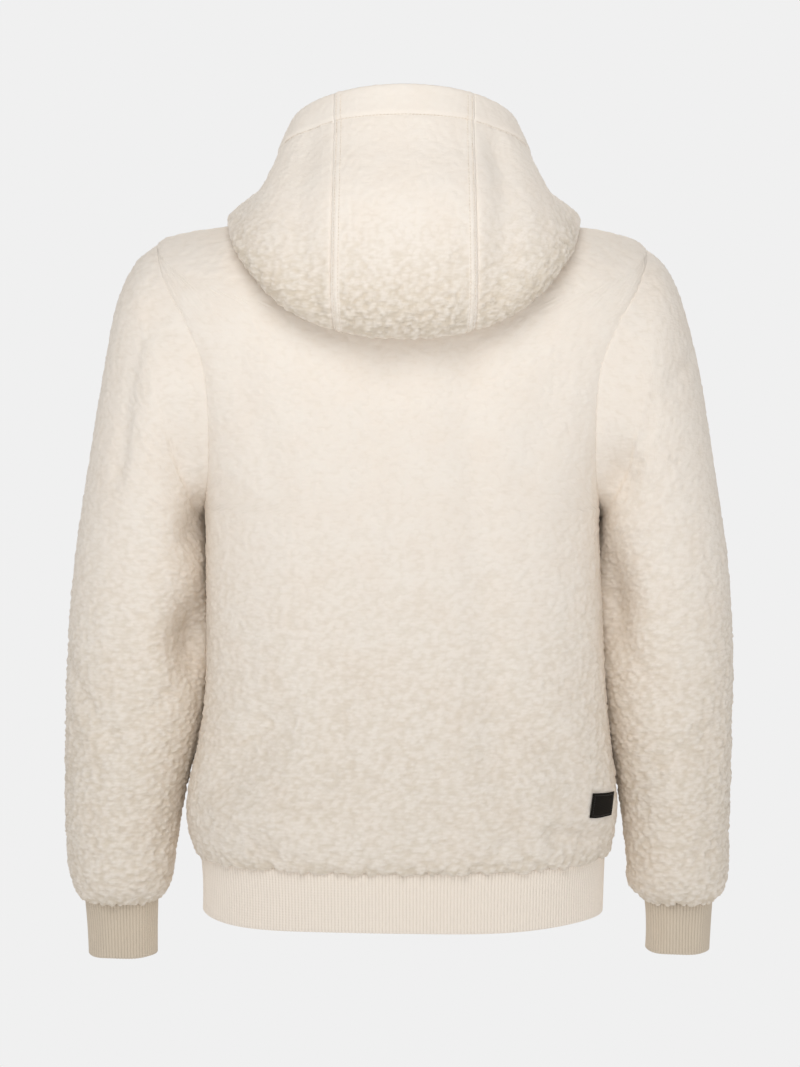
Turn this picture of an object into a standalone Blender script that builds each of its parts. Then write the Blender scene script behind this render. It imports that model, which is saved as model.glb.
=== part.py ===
"""Teddy fleece jacket with a hood, filled out and hanging open, in metres, +Z up, front facing -Y.
The origin is in the middle of the neck opening, level with the back neck."""

import math

import bmesh
import bpy
import numpy as np

# Cloth and seams
FLEECE_WALL = 0.004
RIB_WALL = 0.0022
RIB_RAISE = 0.0008
RIB_PITCH = 0.0033
SEAM_GAP = 0.0003
FRONT_EDGE_X = 0.0065

# Torso rings from the neck edge down: half width and height at the side, depth and height at the
# middle of the back and of the front, squareness of the ring, sideways shift.
# half_width, side_z, back_depth, back_z, front_depth, front_z, squareness, shift
TORSO_RINGS = [
    (0.0880, 0.0060, 0.0660, 0.0000, 0.0930, -0.0700, 2.00, 0.0000),
    (0.1250, -0.0010, 0.0800, -0.0220, 0.1030, -0.0800, 2.05, 0.0000),
    (0.1700, -0.0120, 0.0940, -0.0460, 0.1120, -0.0960, 2.20, 0.0000),
    (0.2120, -0.0180, 0.1060, -0.0720, 0.1190, -0.1150, 2.40, 0.0000),
    (0.2420, -0.0290, 0.1150, -0.1010, 0.1250, -0.1380, 2.60, 0.0000),
    (0.2500, -0.0620, 0.1210, -0.1310, 0.1295, -0.1630, 2.80, 0.0000),
    (0.2400, -0.1080, 0.1250, -0.1640, 0.1325, -0.1920, 2.90, 0.0000),
    (0.2220, -0.1620, 0.1280, -0.2010, 0.1345, -0.2230, 2.90, 0.0000),
    (0.2060, -0.2260, 0.1290, -0.2450, 0.1345, -0.2580, 2.80, 0.0000),
    (0.1962, -0.2900, 0.1275, -0.2920, 0.1330, -0.2950, 2.60, 0.0000),
    (0.1962, -0.3460, 0.1250, -0.3460, 0.1305, -0.3460, 2.50, -0.0010),
    (0.1975, -0.4020, 0.1235, -0.4020, 0.1280, -0.4020, 2.45, -0.0025),
    (0.1992, -0.4580, 0.1240, -0.4580, 0.1275, -0.4580, 2.40, -0.0035),
    (0.2045, -0.5140, 0.1275, -0.5140, 0.1295, -0.5140, 2.40, -0.0030),
    (0.2115, -0.5530, 0.1335, -0.5530, 0.1345, -0.5530, 2.40, -0.0010),
    (0.2150, -0.5830, 0.1380, -0.5830, 0.1385, -0.5830, 2.40, 0.0000),
    (0.2145, -0.6060, 0.1390, -0.6060, 0.1390, -0.6060, 2.40, 0.0002),
    (0.2105, -0.6240, 0.1355, -0.6240, 0.1355, -0.6240, 2.40, 0.0000),
    (0.2055, -0.6340, 0.1310, -0.6340, 0.1310, -0.6340, 2.40, -0.0005),
]
SHOULDER_FALL = 1.4
# the right shoulder hangs this much lower at its tip, from this far out
SHOULDER_DROP = 0.0050
DROP_FROM_X = 0.1750
TIP_RING = 4
ARMPIT_RING = 9
HEM_RING = 18
# rows of the panels beside the armhole, which the sleeve's first section shares
SQUEEZE = 1.7
ARMHOLE_ROWS = (4.0, 4.2, 4.5, 5.0, 5.6, 6.4, 7.2, 8.0, 8.5, 8.8, 9.0)

# Half the panel's width between the armholes, at rings from the shoulder tip to the armpit.
# ring, across_back, across_front
ARMHOLE = [
    (4.0, 0.2420, 0.2420),
    (4.5, 0.2290, 0.2270),
    (5.0, 0.2110, 0.2060),
    (6.0, 0.1930, 0.1830),
    (7.0, 0.1880, 0.1760),
    (8.0, 0.1880, 0.1790),
    (8.5, 0.1905, 0.1860),
    (9.0, 0.1962, 0.1962),
]

# Sleeve sections from just outside the armhole to the cuff: outer point, inner point, half the
# depth, and how far the section sits behind the side line.
# outer_x, outer_z, inner_x, inner_z, half_depth, back_y
SLEEVE_LEFT = [
    (0.2600, -0.0440, 0.2002, -0.3000, 0.0990, -0.0060),
    (0.2765, -0.0710, 0.2005, -0.3080, 0.0980, -0.0060),
    (0.2872, -0.1060, 0.2003, -0.3180, 0.0950, -0.0060),
    (0.2965, -0.1560, 0.2000, -0.3310, 0.0900, -0.0055),
    (0.3065, -0.2140, 0.1995, -0.3470, 0.0840, -0.0050),
    (0.3160, -0.2710, 0.1992, -0.3680, 0.0780, -0.0045),
    (0.3250, -0.3280, 0.1992, -0.3930, 0.0740, -0.0045),
    (0.3315, -0.3870, 0.1996, -0.4260, 0.0710, -0.0050),
    (0.3360, -0.4480, 0.2005, -0.4670, 0.0690, -0.0060),
    (0.3378, -0.5070, 0.2068, -0.5170, 0.0670, -0.0070),
    (0.3388, -0.5670, 0.2180, -0.5670, 0.0645, -0.0080),
    (0.3390, -0.6140, 0.2255, -0.6130, 0.0615, -0.0090),
    (0.3370, -0.6490, 0.2300, -0.6480, 0.0580, -0.0100),
    (0.3315, -0.6750, 0.2350, -0.6740, 0.0500, -0.0110),
    (0.3225, -0.6870, 0.2460, -0.6870, 0.0370, -0.0120),
]
SLEEVE_RIGHT = [
    (0.2570, -0.0470, 0.2002, -0.3000, 0.0990, -0.0060),
    (0.2720, -0.0720, 0.2005, -0.3080, 0.0980, -0.0060),
    (0.2835, -0.1080, 0.2005, -0.3180, 0.0950, -0.0060),
    (0.2955, -0.1560, 0.2005, -0.3310, 0.0900, -0.0055),
    (0.3055, -0.2140, 0.2010, -0.3470, 0.0840, -0.0050),
    (0.3145, -0.2710, 0.2015, -0.3680, 0.0780, -0.0045),
    (0.3235, -0.3280, 0.2030, -0.3930, 0.0740, -0.0045),
    (0.3290, -0.3870, 0.2046, -0.4260, 0.0710, -0.0050),
    (0.3320, -0.4480, 0.2070, -0.4670, 0.0690, -0.0060),
    (0.3310, -0.5070, 0.2122, -0.5170, 0.0670, -0.0070),
    (0.3305, -0.5670, 0.2190, -0.5670, 0.0645, -0.0080),
    (0.3295, -0.6140, 0.2240, -0.6130, 0.0615, -0.0090),
    (0.3295, -0.6490, 0.2275, -0.6480, 0.0580, -0.0100),
    (0.3270, -0.6750, 0.2300, -0.6740, 0.0500, -0.0110),
    (0.3160, -0.6870, 0.2445, -0.6870, 0.0370, -0.0120),
]
# Hollows where a sleeve folds against the body: turn round the sleeve in degrees from its outer
# edge over the back, height, depth, half its turn, half its height
SLEEVE_HOLLOWS = {
    1: [
        (128, -0.2200, 0.0060, 24, 0.060),
        (150, -0.3150, 0.0170, 22, 0.027),
        (150, -0.4230, 0.0330, 24, 0.038),
        (48, -0.1500, 0.0040, 12, 0.060),
    ],
    -1: [
        (134, -0.2500, 0.0130, 22, 0.036),
        (150, -0.3850, 0.0250, 21, 0.050),
        (60, -0.5600, 0.0040, 16, 0.060),
    ],
}

# Hood profiles by angle round the neck, from the middle back to the throat. Each runs up from the
# neck seam, rolls over, lies on the shoulders as far as a torso ring, folds, and rises to the rim.
# angle, stand, foot_ring, clear, fold_r, fold_z, belly_r, belly_z, mid_r, mid_z, rim_r, rim_z
HOOD = [
    (0, 0.024, 4.20, 0.005, 0.1500, -0.1270, 0.1750, -0.0920, 0.1745, -0.0050, 0.1180, 0.1110),
    (20, 0.024, 4.10, 0.004, 0.1570, -0.1220, 0.1805, -0.0880, 0.1745, -0.0040, 0.1165, 0.1090),
    (40, 0.023, 3.40, 0.003, 0.1690, -0.1000, 0.1885, -0.0710, 0.1690, 0.0030, 0.1150, 0.1030),
    (60, 0.021, 2.40, 0.003, 0.1780, -0.0510, 0.1870, -0.0330, 0.1580, 0.0180, 0.1160, 0.0930),
    (80, 0.018, 1.90, 0.003, 0.1740, -0.0110, 0.1770, -0.0065, 0.1400, 0.0280, 0.1150, 0.0780),
    (100, 0.016, 1.80, 0.003, 0.1700, -0.0095, 0.1730, -0.0040, 0.1380, 0.0240, 0.1130, 0.0580),
    (125, 0.014, 1.60, 0.003, 0.1540, -0.0350, 0.1580, -0.0250, 0.1330, 0.0000, 0.1130, 0.0270),
    (150, 0.012, 1.20, 0.003, 0.1300, -0.0620, 0.1340, -0.0530, 0.1240, -0.0310, 0.1140, -0.0090),
    (176, 0.010, 0.70, 0.003, 0.1110, -0.0720, 0.1140, -0.0640, 0.1130, -0.0520, 0.1100, -0.0380),
]
# Half the width of the hood's middle strip, at control points from the neck seam to the rim.
HOOD_STRIP = (0.036, 0.038, 0.044, 0.049, 0.055, 0.061, 0.066, 0.069, 0.0675, 0.0665, 0.0660)
HOOD_SHIFT = -0.002
HOOD_SEAM_GAP = 0.00043
THROAT_ANGLE = math.radians(176)

# Largest folds: start x, start z, end x, end z, depth (a ridge is negative), half width
BACK_FOLDS = [
    (0.0150, -0.1600, 0.0650, -0.5200, 0.0035, 0.022),
    (-0.0600, -0.1500, -0.0920, -0.5400, 0.0045, 0.020),
    (-0.1600, -0.6080, -0.1800, -0.6140, 0.0060, 0.016),
    (0.1250, -0.5050, 0.1550, -0.5500, 0.0045, 0.028),
    (0.1250, -0.5950, 0.1700, -0.5900, -0.0030, 0.020),
    (-0.1200, -0.4950, -0.1500, -0.5350, 0.0030, 0.020),
]
FRONT_FOLDS = [
    (0.0700, -0.2200, 0.0850, -0.5400, 0.0040, 0.022),
    (-0.0600, -0.2600, -0.0720, -0.5500, 0.0038, 0.022),
    (0.1350, -0.5600, 0.1600, -0.5950, 0.0040, 0.022),
]

# Ribs
HEM_HALF_WIDTH = 0.2030
HEM_HALF_DEPTH = 0.1280
HEM_TAPER = 0.0020
HEM_SHIFT = -0.0008
HEM_SQUARENESS = 2.4
HEM_BOTTOM_Z = -0.6955
CUFF_TOP_Z = -0.6873
CUFF_BOTTOM_Z = {"left": -0.7450, "right": -0.7410}
CUFF_HALF_DEPTH = 0.0310
CUFF_BACK_Y = -0.0120
# side sign, outer_x and inner_x at the top, outer_x and inner_x at the bottom
CUFFS = {
    "left": (1, 0.3205, 0.2480, 0.3170, 0.2490),
    "right": (-1, 0.3140, 0.2465, 0.3110, 0.2480),
}

# Zip
TAPE_WIDTH = 0.0150
TAPE_WALL = 0.0009
CHAIN_HALF = 0.0030
CHAIN_RAISE = 0.0018
SLIDER_RING = 1.55
TAB_LENGTH = 0.0300
TAB_WALL = 0.0012
PIN_RADIUS = 0.0008
BARREL_RADIUS = 0.0020
BORE_RADIUS = 0.00115
BARREL_HALF = 0.0026
EAR_WALL = 0.0011

# Label
LABEL_X = (-0.1830, -0.2060)
LABEL_RINGS = (14.70, 15.55)
LABEL_WALL = 0.0008
LABEL_LIFT = 0.0006

COLOURS = {
    "fleece": ((0.84, 0.79, 0.71), 0.95, 0.0),
    "rib": ((0.71, 0.64, 0.55), 0.9, 0.0),
    "tape": ((0.75, 0.69, 0.60), 0.85, 0.0),
    "metal": ((0.62, 0.60, 0.57), 0.32, 1.0),
    "label": ((0.012, 0.010, 0.008), 0.7, 0.0),
}


def clear_scene():
    for obj in list(bpy.data.objects):
        bpy.data.objects.remove(obj, do_unlink=True)


def material(name):
    found = bpy.data.materials.get(name)
    if found:
        return found
    made = bpy.data.materials.new(name)
    made.use_nodes = True
    colour, roughness, metallic = COLOURS[name]
    shader = made.node_tree.nodes["Principled BSDF"]
    shader.inputs["Base Color"].default_value = (*colour, 1.0)
    shader.inputs["Roughness"].default_value = roughness
    shader.inputs["Metallic"].default_value = metallic
    return made


def through(rows, at):
    """The rows' columns at the positions `at`, counted in rows, on a smooth curve through them."""
    rows = np.asarray(rows, float)
    last = len(rows) - 1
    at = np.clip(np.asarray(at, float), 0.0, last)
    low = np.minimum(at.astype(int), last - 1)
    t = (at - low)[..., None]
    before, start = rows[np.maximum(low - 1, 0)], rows[low]
    end, after = rows[low + 1], rows[np.minimum(low + 2, last)]
    slope_a, slope_b = (end - before) / 2, (after - start) / 2
    return (
        start * (2 * t**3 - 3 * t**2 + 1)
        + slope_a * (t**3 - 2 * t**2 + t)
        + end * (3 * t**2 - 2 * t**3)
        + slope_b * (t**3 - t**2)
    )


def unit(vectors):
    return vectors / np.maximum(np.linalg.norm(vectors, axis=-1, keepdims=True), 1e-12)


def fold_depth(folds, x, z):
    """How far the folds push the cloth in at x, z: a soft trough round each line, fading at its ends."""
    depth = np.zeros_like(x)
    for x0, z0, x1, z1, deep, half in folds:
        along = np.array((x1 - x0, z1 - z0))
        length = np.linalg.norm(along)
        along = along / length
        run = (x - x0) * along[0] + (z - z0) * along[1]
        off = (x - x0) * along[1] - (z - z0) * along[0]
        past = np.maximum(np.maximum(-run, run - length), 0.0)
        depth += deep * np.exp(-((off / half) ** 2) - (past / (1.6 * half)) ** 2)
    return depth


def torso(angle, ring):
    """The torso's outer face: angle 0 at the wearer's left side, a quarter turn at the middle back."""
    angle, ring = np.broadcast_arrays(np.asarray(angle, float), np.asarray(ring, float))
    half, side_z, back, back_z, front, front_z, square, shift = np.moveaxis(
        through(TORSO_RINGS, ring), -1, 0
    )
    across, deep = np.cos(angle), np.sin(angle)
    is_back = deep >= 0
    depth = np.where(is_back, back, front)
    mid_z = np.where(is_back, back_z, front_z)
    share_x = np.sign(across) * np.abs(across) ** (2 / square)
    share_y = np.abs(deep) ** (2 / square)
    x = shift + half * share_x
    y = np.sign(deep) * depth * share_y
    z = side_z + (mid_z - side_z) * share_y**SHOULDER_FALL
    past = np.clip((-x - DROP_FROM_X) / (TORSO_RINGS[TIP_RING][0] - DROP_FROM_X), 0.0, 1.0)
    z = z - SHOULDER_DROP * past**2 * np.clip((ARMPIT_RING - ring) / (ARMPIT_RING - TIP_RING), 0, 1)
    pushed = np.where(is_back, fold_depth(BACK_FOLDS, x, z), fold_depth(FRONT_FOLDS, x, z))
    y = y - np.sign(deep) * pushed * np.minimum(share_y * 1.6, 1.0)
    return np.stack([x, y, z], -1)


def torso_normal(angle, ring):
    step_a, step_r = 0.01, 0.05
    round_way = torso(angle + step_a, ring) - torso(angle - step_a, ring)
    low, high = np.maximum(ring - step_r, 0.0), np.minimum(ring + step_r, HEM_RING)
    down_way = torso(angle, high) - torso(angle, low)
    return unit(np.cross(down_way, round_way))


def wall_direction(angle, ring):
    """The wall's thickness runs along the normal, and straight down at the neck edge."""
    down = np.clip(1.0 - ring, 0.0, 1.0)[..., None]
    return unit((1.0 - down) * torso_normal(angle, ring) + down * np.array((0.0, 0.0, 1.0)))


def angle_at(x, ring, is_back):
    """The torso angle where the ring's face is at x, on the back or the front half."""
    half, square, shift = np.moveaxis(through(TORSO_RINGS, ring)[..., [0, 6, 7]], -1, 0)
    share = np.clip((x - shift) / half, -1.0, 1.0)
    angle = np.arccos(np.sign(share) * np.abs(share) ** (square / 2))
    return angle if is_back else -angle


def armhole_angle(ring, is_back):
    """Angle of the armhole's edge on a ring, measured from the side, 0 outside the armhole."""
    table = np.array(ARMHOLE)
    rows = np.interp(ring, table[:, 0], np.arange(len(table)))
    x = through(table[:, 1:], rows)[..., 0 if is_back else 1]
    shift = through(TORSO_RINGS, ring)[..., 7]
    angle = np.abs(angle_at(x + shift, ring, True))
    inside = (ring > TIP_RING) & (ring < ARMPIT_RING)
    return np.where(inside, angle, 0.0)


def cloth_run(start, stop, ring):
    """Angles on one ring, close together at both ends, and the length of cloth up to each."""
    fine = start + (stop - start) * (0.5 - 0.5 * np.cos(np.linspace(0, math.pi, 240)))
    points = torso(fine, np.full_like(fine, ring))
    steps = np.linalg.norm(np.diff(points, axis=0), axis=1)
    return fine, np.concatenate([[0], np.cumsum(steps)])


def even_angles(start, stop, ring, count):
    """Angles from start to stop on one ring that are evenly spaced along the cloth."""
    fine, run = cloth_run(start, stop, ring)
    return np.interp(np.linspace(0, run[-1], count), run, fine)


def panel_angles(start, stop, side_start, side_stop, ring, count):
    """Angles across a panel: even where the ring is whole, and closing up beside an armhole."""
    fine, run = cloth_run(side_start, side_stop, ring)
    way = 1 if side_stop > side_start else -1
    cut_start = np.interp(start * way, fine * way, run)
    cut_stop = run[-1] - np.interp(stop * way, fine * way, run)
    share = np.linspace(0, 1, count)
    at = run[-1] * share + cut_start * (1 - share) ** SQUEEZE - cut_stop * share**SQUEEZE
    return np.interp(at, run, fine)


def link(mesh_object, name, kind):
    mesh_object.name = name
    mesh_object.data.name = name
    mesh_object.data.materials.clear()
    mesh_object.data.materials.append(material(kind))
    mesh_object.data.shade_smooth()
    mesh_object.data.set_sharp_from_angle(angle=math.radians(45))
    GARMENT.objects.link(mesh_object)
    return mesh_object


def object_from(name, points, faces, kind):
    mesh = bpy.data.meshes.new(name)
    mesh.from_pydata([tuple(p) for p in points], [], faces)
    mesh.validate()
    shaped = bmesh.new()
    shaped.from_mesh(mesh)
    bmesh.ops.recalc_face_normals(shaped, faces=shaped.faces)
    shaped.to_mesh(mesh)
    shaped.free()
    return link(bpy.data.objects.new(name, mesh), name, kind)


def grid_faces(rows, columns, offset, is_ring, flip):
    faces = []
    last = columns if is_ring else columns - 1
    for i in range(rows - 1):
        for j in range(last):
            k = (j + 1) % columns
            a, b = offset + i * columns + j, offset + i * columns + k
            c, d = offset + (i + 1) * columns + k, offset + (i + 1) * columns + j
            faces.append((a, d, c, b) if flip else (a, b, c, d))
    return faces


def wall(name, outer, inner, kind, is_ring=False):
    """A closed wall between two grids of points, rows by columns. A ring's last column joins its first."""
    rows, columns = outer.shape[:2]
    count = rows * columns
    points = np.concatenate([outer.reshape(-1, 3), inner.reshape(-1, 3)])
    faces = grid_faces(rows, columns, 0, is_ring, False)
    faces += grid_faces(rows, columns, count, is_ring, True)
    last = columns if is_ring else columns - 1
    for i, turn in ((0, True), (rows - 1, False)):
        for j in range(last):
            a, b = i * columns + j, i * columns + (j + 1) % columns
            edge = (a, b, b + count, a + count)
            faces.append(edge if turn else edge[::-1])
    if not is_ring:
        for j, turn in ((0, False), (columns - 1, True)):
            for i in range(rows - 1):
                a, b = i * columns + j, (i + 1) * columns + j
                edge = (a, b, b + count, a + count)
                faces.append(edge if turn else edge[::-1])
    return object_from(name, points, faces, kind)


def torso_rows():
    top = np.linspace(0, TIP_RING, 6)
    low = [9.4, 10, 11, 12, 13, 13.7, 14.4, 15, 15.6, 16.2, 16.8, 17.4, HEM_RING]
    return np.concatenate([top, ARMHOLE_ROWS[1:], low])


def pull_in(points, distance):
    """A panel's grid with its side columns moved in from the seams by a distance."""
    moved = points.copy()
    for edge, inside in ((0, 1), (-1, -2)):
        way = unit(points[:, inside] - points[:, edge])
        moved[:, edge] = points[:, edge] + way * distance
    return moved


def torso_panel(name, is_back, side, columns):
    """The back (side 0) or one front (side 1 left, -1 right), from side seam to side seam or zip."""
    outer, inner = [], []
    for ring in torso_rows():
        at = np.array(ring)
        edge = float(armhole_angle(at, is_back))
        if is_back:
            angles = panel_angles(edge, math.pi - edge, 0.0, math.pi, ring, columns)
        else:
            middle = float(angle_at(np.array(FRONT_EDGE_X * side), at, False))
            seam = 0.0 if side > 0 else -math.pi
            angles = panel_angles(seam - edge * side, middle, seam, middle, ring, columns)
        rings = np.full(columns, ring)
        points = torso(angles, rings)
        outer.append(points)
        inner.append(points - FLEECE_WALL * wall_direction(angles, rings))
    outer = pull_in(np.array(outer), SEAM_GAP / 2)
    inner = pull_in(np.array(inner), SEAM_GAP / 2)
    return wall(name, outer, inner, "fleece")


def armhole_loop(side):
    """Points round one armhole from the shoulder tip over the back to the armpit and up the front."""
    rings = np.array(ARMHOLE_ROWS)
    back = armhole_angle(rings, True)
    front = -armhole_angle(rings, False)[-2:0:-1]
    angles = np.concatenate([back, front])
    if side < 0:
        angles = math.pi - angles
    return torso(angles, np.concatenate([rings, rings[-2:0:-1]]))


def grid_normals(points, side):
    """Outward directions on a tube's grid of rows by columns round it."""
    round_way = np.roll(points, -1, 1) - np.roll(points, 1, 1)
    along = np.gradient(points, axis=0)
    return unit(np.cross(along, round_way)) * side


EVEN_SECTION = 6
HOLLOW_LEAN = 0.3


def sleeve_push(side, turn, z):
    """How far the hollows push a sleeve's cloth forward at a turn round it and a height."""
    push = np.zeros_like(turn)
    for degrees, middle_z, deep, half_turn, half_z in SLEEVE_HOLLOWS[side]:
        off = (np.degrees(turn) - degrees) / half_turn
        push += deep * np.exp(-(off**2) - ((z - middle_z) / half_z) ** 2)
    return push


def sleeve(name, side, table):
    first = armhole_loop(side)
    columns = len(first)
    even = np.linspace(0, 2 * math.pi, columns, endpoint=False)
    middle = (first[0] + first[columns // 2]) / 2
    reach = (first[0] - middle) @ unit(first[0] - middle)
    depth = np.where(first[:, 1] > 0, first[:, 1].max(), -first[:, 1].min())
    up = (first - middle) @ unit(first[0] - middle) / reach
    own = np.unwrap(np.arctan2(first[:, 1] / depth, up))
    own = np.where(own < -1e-6, own + 2 * math.pi, own)
    inward = unit((middle - first) * (0, 1, 1))
    first = first + SEAM_GAP * (1.4 * inward + np.array((3.2 * side, 0, 0)))
    rings = [first]
    for row, (outer_x, outer_z, inner_x, inner_z, depth, back_y) in enumerate(table):
        settle = min(row / EVEN_SECTION, 1.0)
        turn = (1 - settle) * own + settle * even
        centre = np.array(((outer_x + inner_x) / 2 * side, back_y, (outer_z + inner_z) / 2))
        reach = np.array(((outer_x - inner_x) / 2 * side, 0, (outer_z - inner_z) / 2))
        ring = centre + np.cos(turn)[:, None] * reach
        ring[:, 1] += np.sin(turn) * depth
        push = sleeve_push(side, turn, ring[:, 2])
        rings.append(ring + push[:, None] * np.array((HOLLOW_LEAN * side, -1.0, 0.0)))
    rings = np.array(rings)
    normals = grid_normals(rings, side)
    normals[0] = -inward
    normals[1] = unit(normals[1] - inward)
    return wall(name, rings, rings - FLEECE_WALL * normals, "fleece", is_ring=True)


def torso_profile(azimuth, ring):
    """Distance from the neck's axis and height of the torso's face, on one azimuth from the back."""
    half, side_z, back, back_z, front, front_z, square = np.moveaxis(
        through(TORSO_RINGS, ring)[..., :7], -1, 0
    )
    is_back = np.cos(azimuth) >= 0
    depth, mid_z = np.where(is_back, back, front), np.where(is_back, back_z, front_z)
    spread = (np.abs(np.sin(azimuth)) / half) ** square + (np.abs(np.cos(azimuth)) / depth) ** square
    reach = spread ** (-1 / square)
    share = reach * np.abs(np.cos(azimuth)) / depth
    return reach, side_z + (mid_z - side_z) * share**SHOULDER_FALL


def hood_profile(azimuth):
    """Control points (distance from the neck's axis, height) of the hood's outer face, by azimuth."""
    table = np.array(HOOD)
    rows = np.interp(np.abs(np.degrees(azimuth)), table[:, 0], np.arange(len(table)))
    columns = np.moveaxis(through(table[:, 1:], rows), -1, 0)
    stand, foot, clear, fold_r, fold_z, belly_r, belly_z, mid_r, mid_z, rim_r, rim_z = columns
    neck_r, neck_z = torso_profile(azimuth, np.zeros_like(azimuth))
    points = [
        (neck_r - 2 * SEAM_GAP, neck_z - FLEECE_WALL),
        (neck_r - 2 * SEAM_GAP, neck_z + 0.45 * stand),
        (neck_r + 0.20 * stand, neck_z + stand),
    ]
    for share in (0.40, 0.72, 1.0):
        here_r, here_z = torso_profile(azimuth, foot * share)
        past_r, past_z = torso_profile(azimuth, foot * share + 0.05)
        length = np.hypot(past_r - here_r, past_z - here_z)
        points.append(
            (here_r - clear * (past_z - here_z) / length, here_z + clear * (past_r - here_r) / length)
        )
    points += [(fold_r, fold_z), (belly_r, belly_z), (mid_r, mid_z)]
    points.append((0.42 * mid_r + 0.58 * rim_r, 0.45 * mid_z + 0.55 * rim_z))
    points.append((rim_r, rim_z))
    return np.stack([np.stack(np.broadcast_arrays(*pair), -1) for pair in points], -2)


def along_each(controls, at):
    """Each element's own control points, read at its own place along them on a smooth curve."""
    last = controls.shape[-2] - 1
    at = np.clip(at, 0.0, last)
    low = np.minimum(at.astype(int), last - 1)
    t = (at - low)[..., None]

    def pick(index):
        return np.take_along_axis(controls, np.clip(index, 0, last)[..., None, None], -2)[..., 0, :]

    before, start, end, after = pick(low - 1), pick(low), pick(low + 1), pick(low + 2)
    return (
        start * (2 * t**3 - 3 * t**2 + 1)
        + (end - before) / 2 * (t**3 - 2 * t**2 + t)
        + end * (3 * t**2 - 2 * t**3)
        + (after - start) / 2 * (t**3 - t**2)
    )


def hood(azimuth, along):
    """The hood's outer face, by azimuth round the neck and place along the profile."""
    azimuth, along = np.broadcast_arrays(azimuth, along)
    profile = along_each(hood_profile(azimuth), along)
    x = HOOD_SHIFT * np.clip(along / 3, 0, 1) + profile[..., 0] * np.sin(azimuth)
    return np.stack([x, profile[..., 0] * np.cos(azimuth), profile[..., 1]], -1)


def hood_normal(azimuth, along):
    step_a, step_v = 0.01, 0.03
    round_way = hood(azimuth + step_a, along) - hood(azimuth - step_a, along)
    last = len(HOOD_STRIP) - 1
    low, high = np.maximum(along - step_v, 0), np.minimum(along + step_v, last)
    return unit(np.cross(hood(azimuth, high) - hood(azimuth, low), round_way))


def strip_azimuth(along):
    """Azimuth of the seam between the hood's middle strip and its left side."""
    half = through(np.array(HOOD_STRIP)[:, None], along)[:, 0]
    azimuth = np.full_like(along, 0.4)
    for _ in range(12):
        reach = along_each(hood_profile(azimuth), along)[:, 0]
        azimuth = (azimuth + np.arcsin(np.clip(half / reach, 0, 0.95))) / 2
    return azimuth


def hood_rows():
    return np.array([0, 1, 1.5, 2, 2.5, 3, 4, 5, 5.5, 6, 6.5, 7, 7.6, 8.3, 9.1, 10])


def hood_panel(name, side, columns):
    """The middle strip (side 0), or a side from its seam with the strip round to the throat."""
    along = hood_rows()
    seam = strip_azimuth(along)
    throat = np.full_like(seam, THROAT_ANGLE)
    start, stop = {0: (-seam, seam), 1: (seam, throat), -1: (-throat, -seam)}[side]
    share = np.linspace(0, 1, columns)
    azimuth = start[:, None] * (1 - share) + stop[:, None] * share
    places = np.broadcast_to(along[:, None], azimuth.shape)
    points, normals = hood(azimuth, places), hood_normal(azimuth, places)
    outer = pull_in(points, HOOD_SEAM_GAP)
    inner = pull_in(points - FLEECE_WALL * normals, HOOD_SEAM_GAP)
    return wall(name, outer, inner, "fleece")


def ribbed_wall(name, path, top_z, bottom_z, is_ring):
    """A knit band: ribs raised on the outer face, a plain inside with one point to each two ribs.
    path gives (x, y) and the outward direction at shares of the way round, top and bottom."""
    length = path.length
    ribs = 2 * round(length / RIB_PITCH / 2)
    steps = 2 * ribs
    shares = np.arange(steps + (0 if is_ring else 1)) / steps
    raised = np.where(np.arange(len(shares)) % 2 == 1, RIB_RAISE, 0.0)
    points, faces = [], []
    coarse = shares[::4]
    for level, z in ((0, top_z), (1, bottom_z)):
        place, way = path(shares, level)
        rim = place + way * raised[:, None]
        points += [(x, y, z) for x, y in rim]
        place, way = path(coarse, level)
        points += [(x, y, z) for x, y in place - way * RIB_WALL]
    fine, few = len(shares), len(coarse)
    low = fine + few
    for j in range(steps):
        k = (j + 1) % fine
        faces.append((j, k, low + k, low + j))
    for j in range(few if is_ring else few - 1):
        k = (j + 1) % few
        faces.append((fine + k, fine + j, low + fine + j, low + fine + k))
        rim = [(4 * j + m) % fine for m in range(5)]
        faces.append((*rim[::-1], fine + j, fine + k))
        faces.append((*[low + m for m in rim], low + fine + k, low + fine + j))
    if not is_ring:
        faces.append((0, low, low + fine, fine))
        faces.append((fine - 1, low - 1, low + fine + few - 1, low + fine - 1))
    return object_from(name, points, faces, "rib")


class RibPath:
    """A rounded ring, or most of one, that a knit band follows, evenly by length."""

    def __init__(self, levels, square, start, stop, centre_y):
        self.levels, self.square, self.centre_y = levels, square, centre_y
        fine = np.linspace(start, stop, 4000)
        place = self.at(fine, 0)
        run = np.concatenate([[0], np.cumsum(np.linalg.norm(np.diff(place, axis=0), axis=1))])
        self.fine, self.run, self.length = fine, run, run[-1]

    def at(self, angle, level):
        centre, half, depth = self.levels[level]
        across, deep = np.cos(angle), np.sin(angle)
        x = centre + half * np.sign(across) * np.abs(across) ** (2 / self.square)
        y = self.centre_y + depth * np.sign(deep) * np.abs(deep) ** (2 / self.square)
        return np.stack([x, y], -1)

    def __call__(self, shares, level):
        angle = np.interp(shares * self.length, self.run, self.fine)
        place = self.at(angle, level)
        step = 0.004
        along = unit(self.at(angle + step, level) - self.at(angle - step, level))
        return place, np.stack([along[:, 1], -along[:, 0]], -1)


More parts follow.
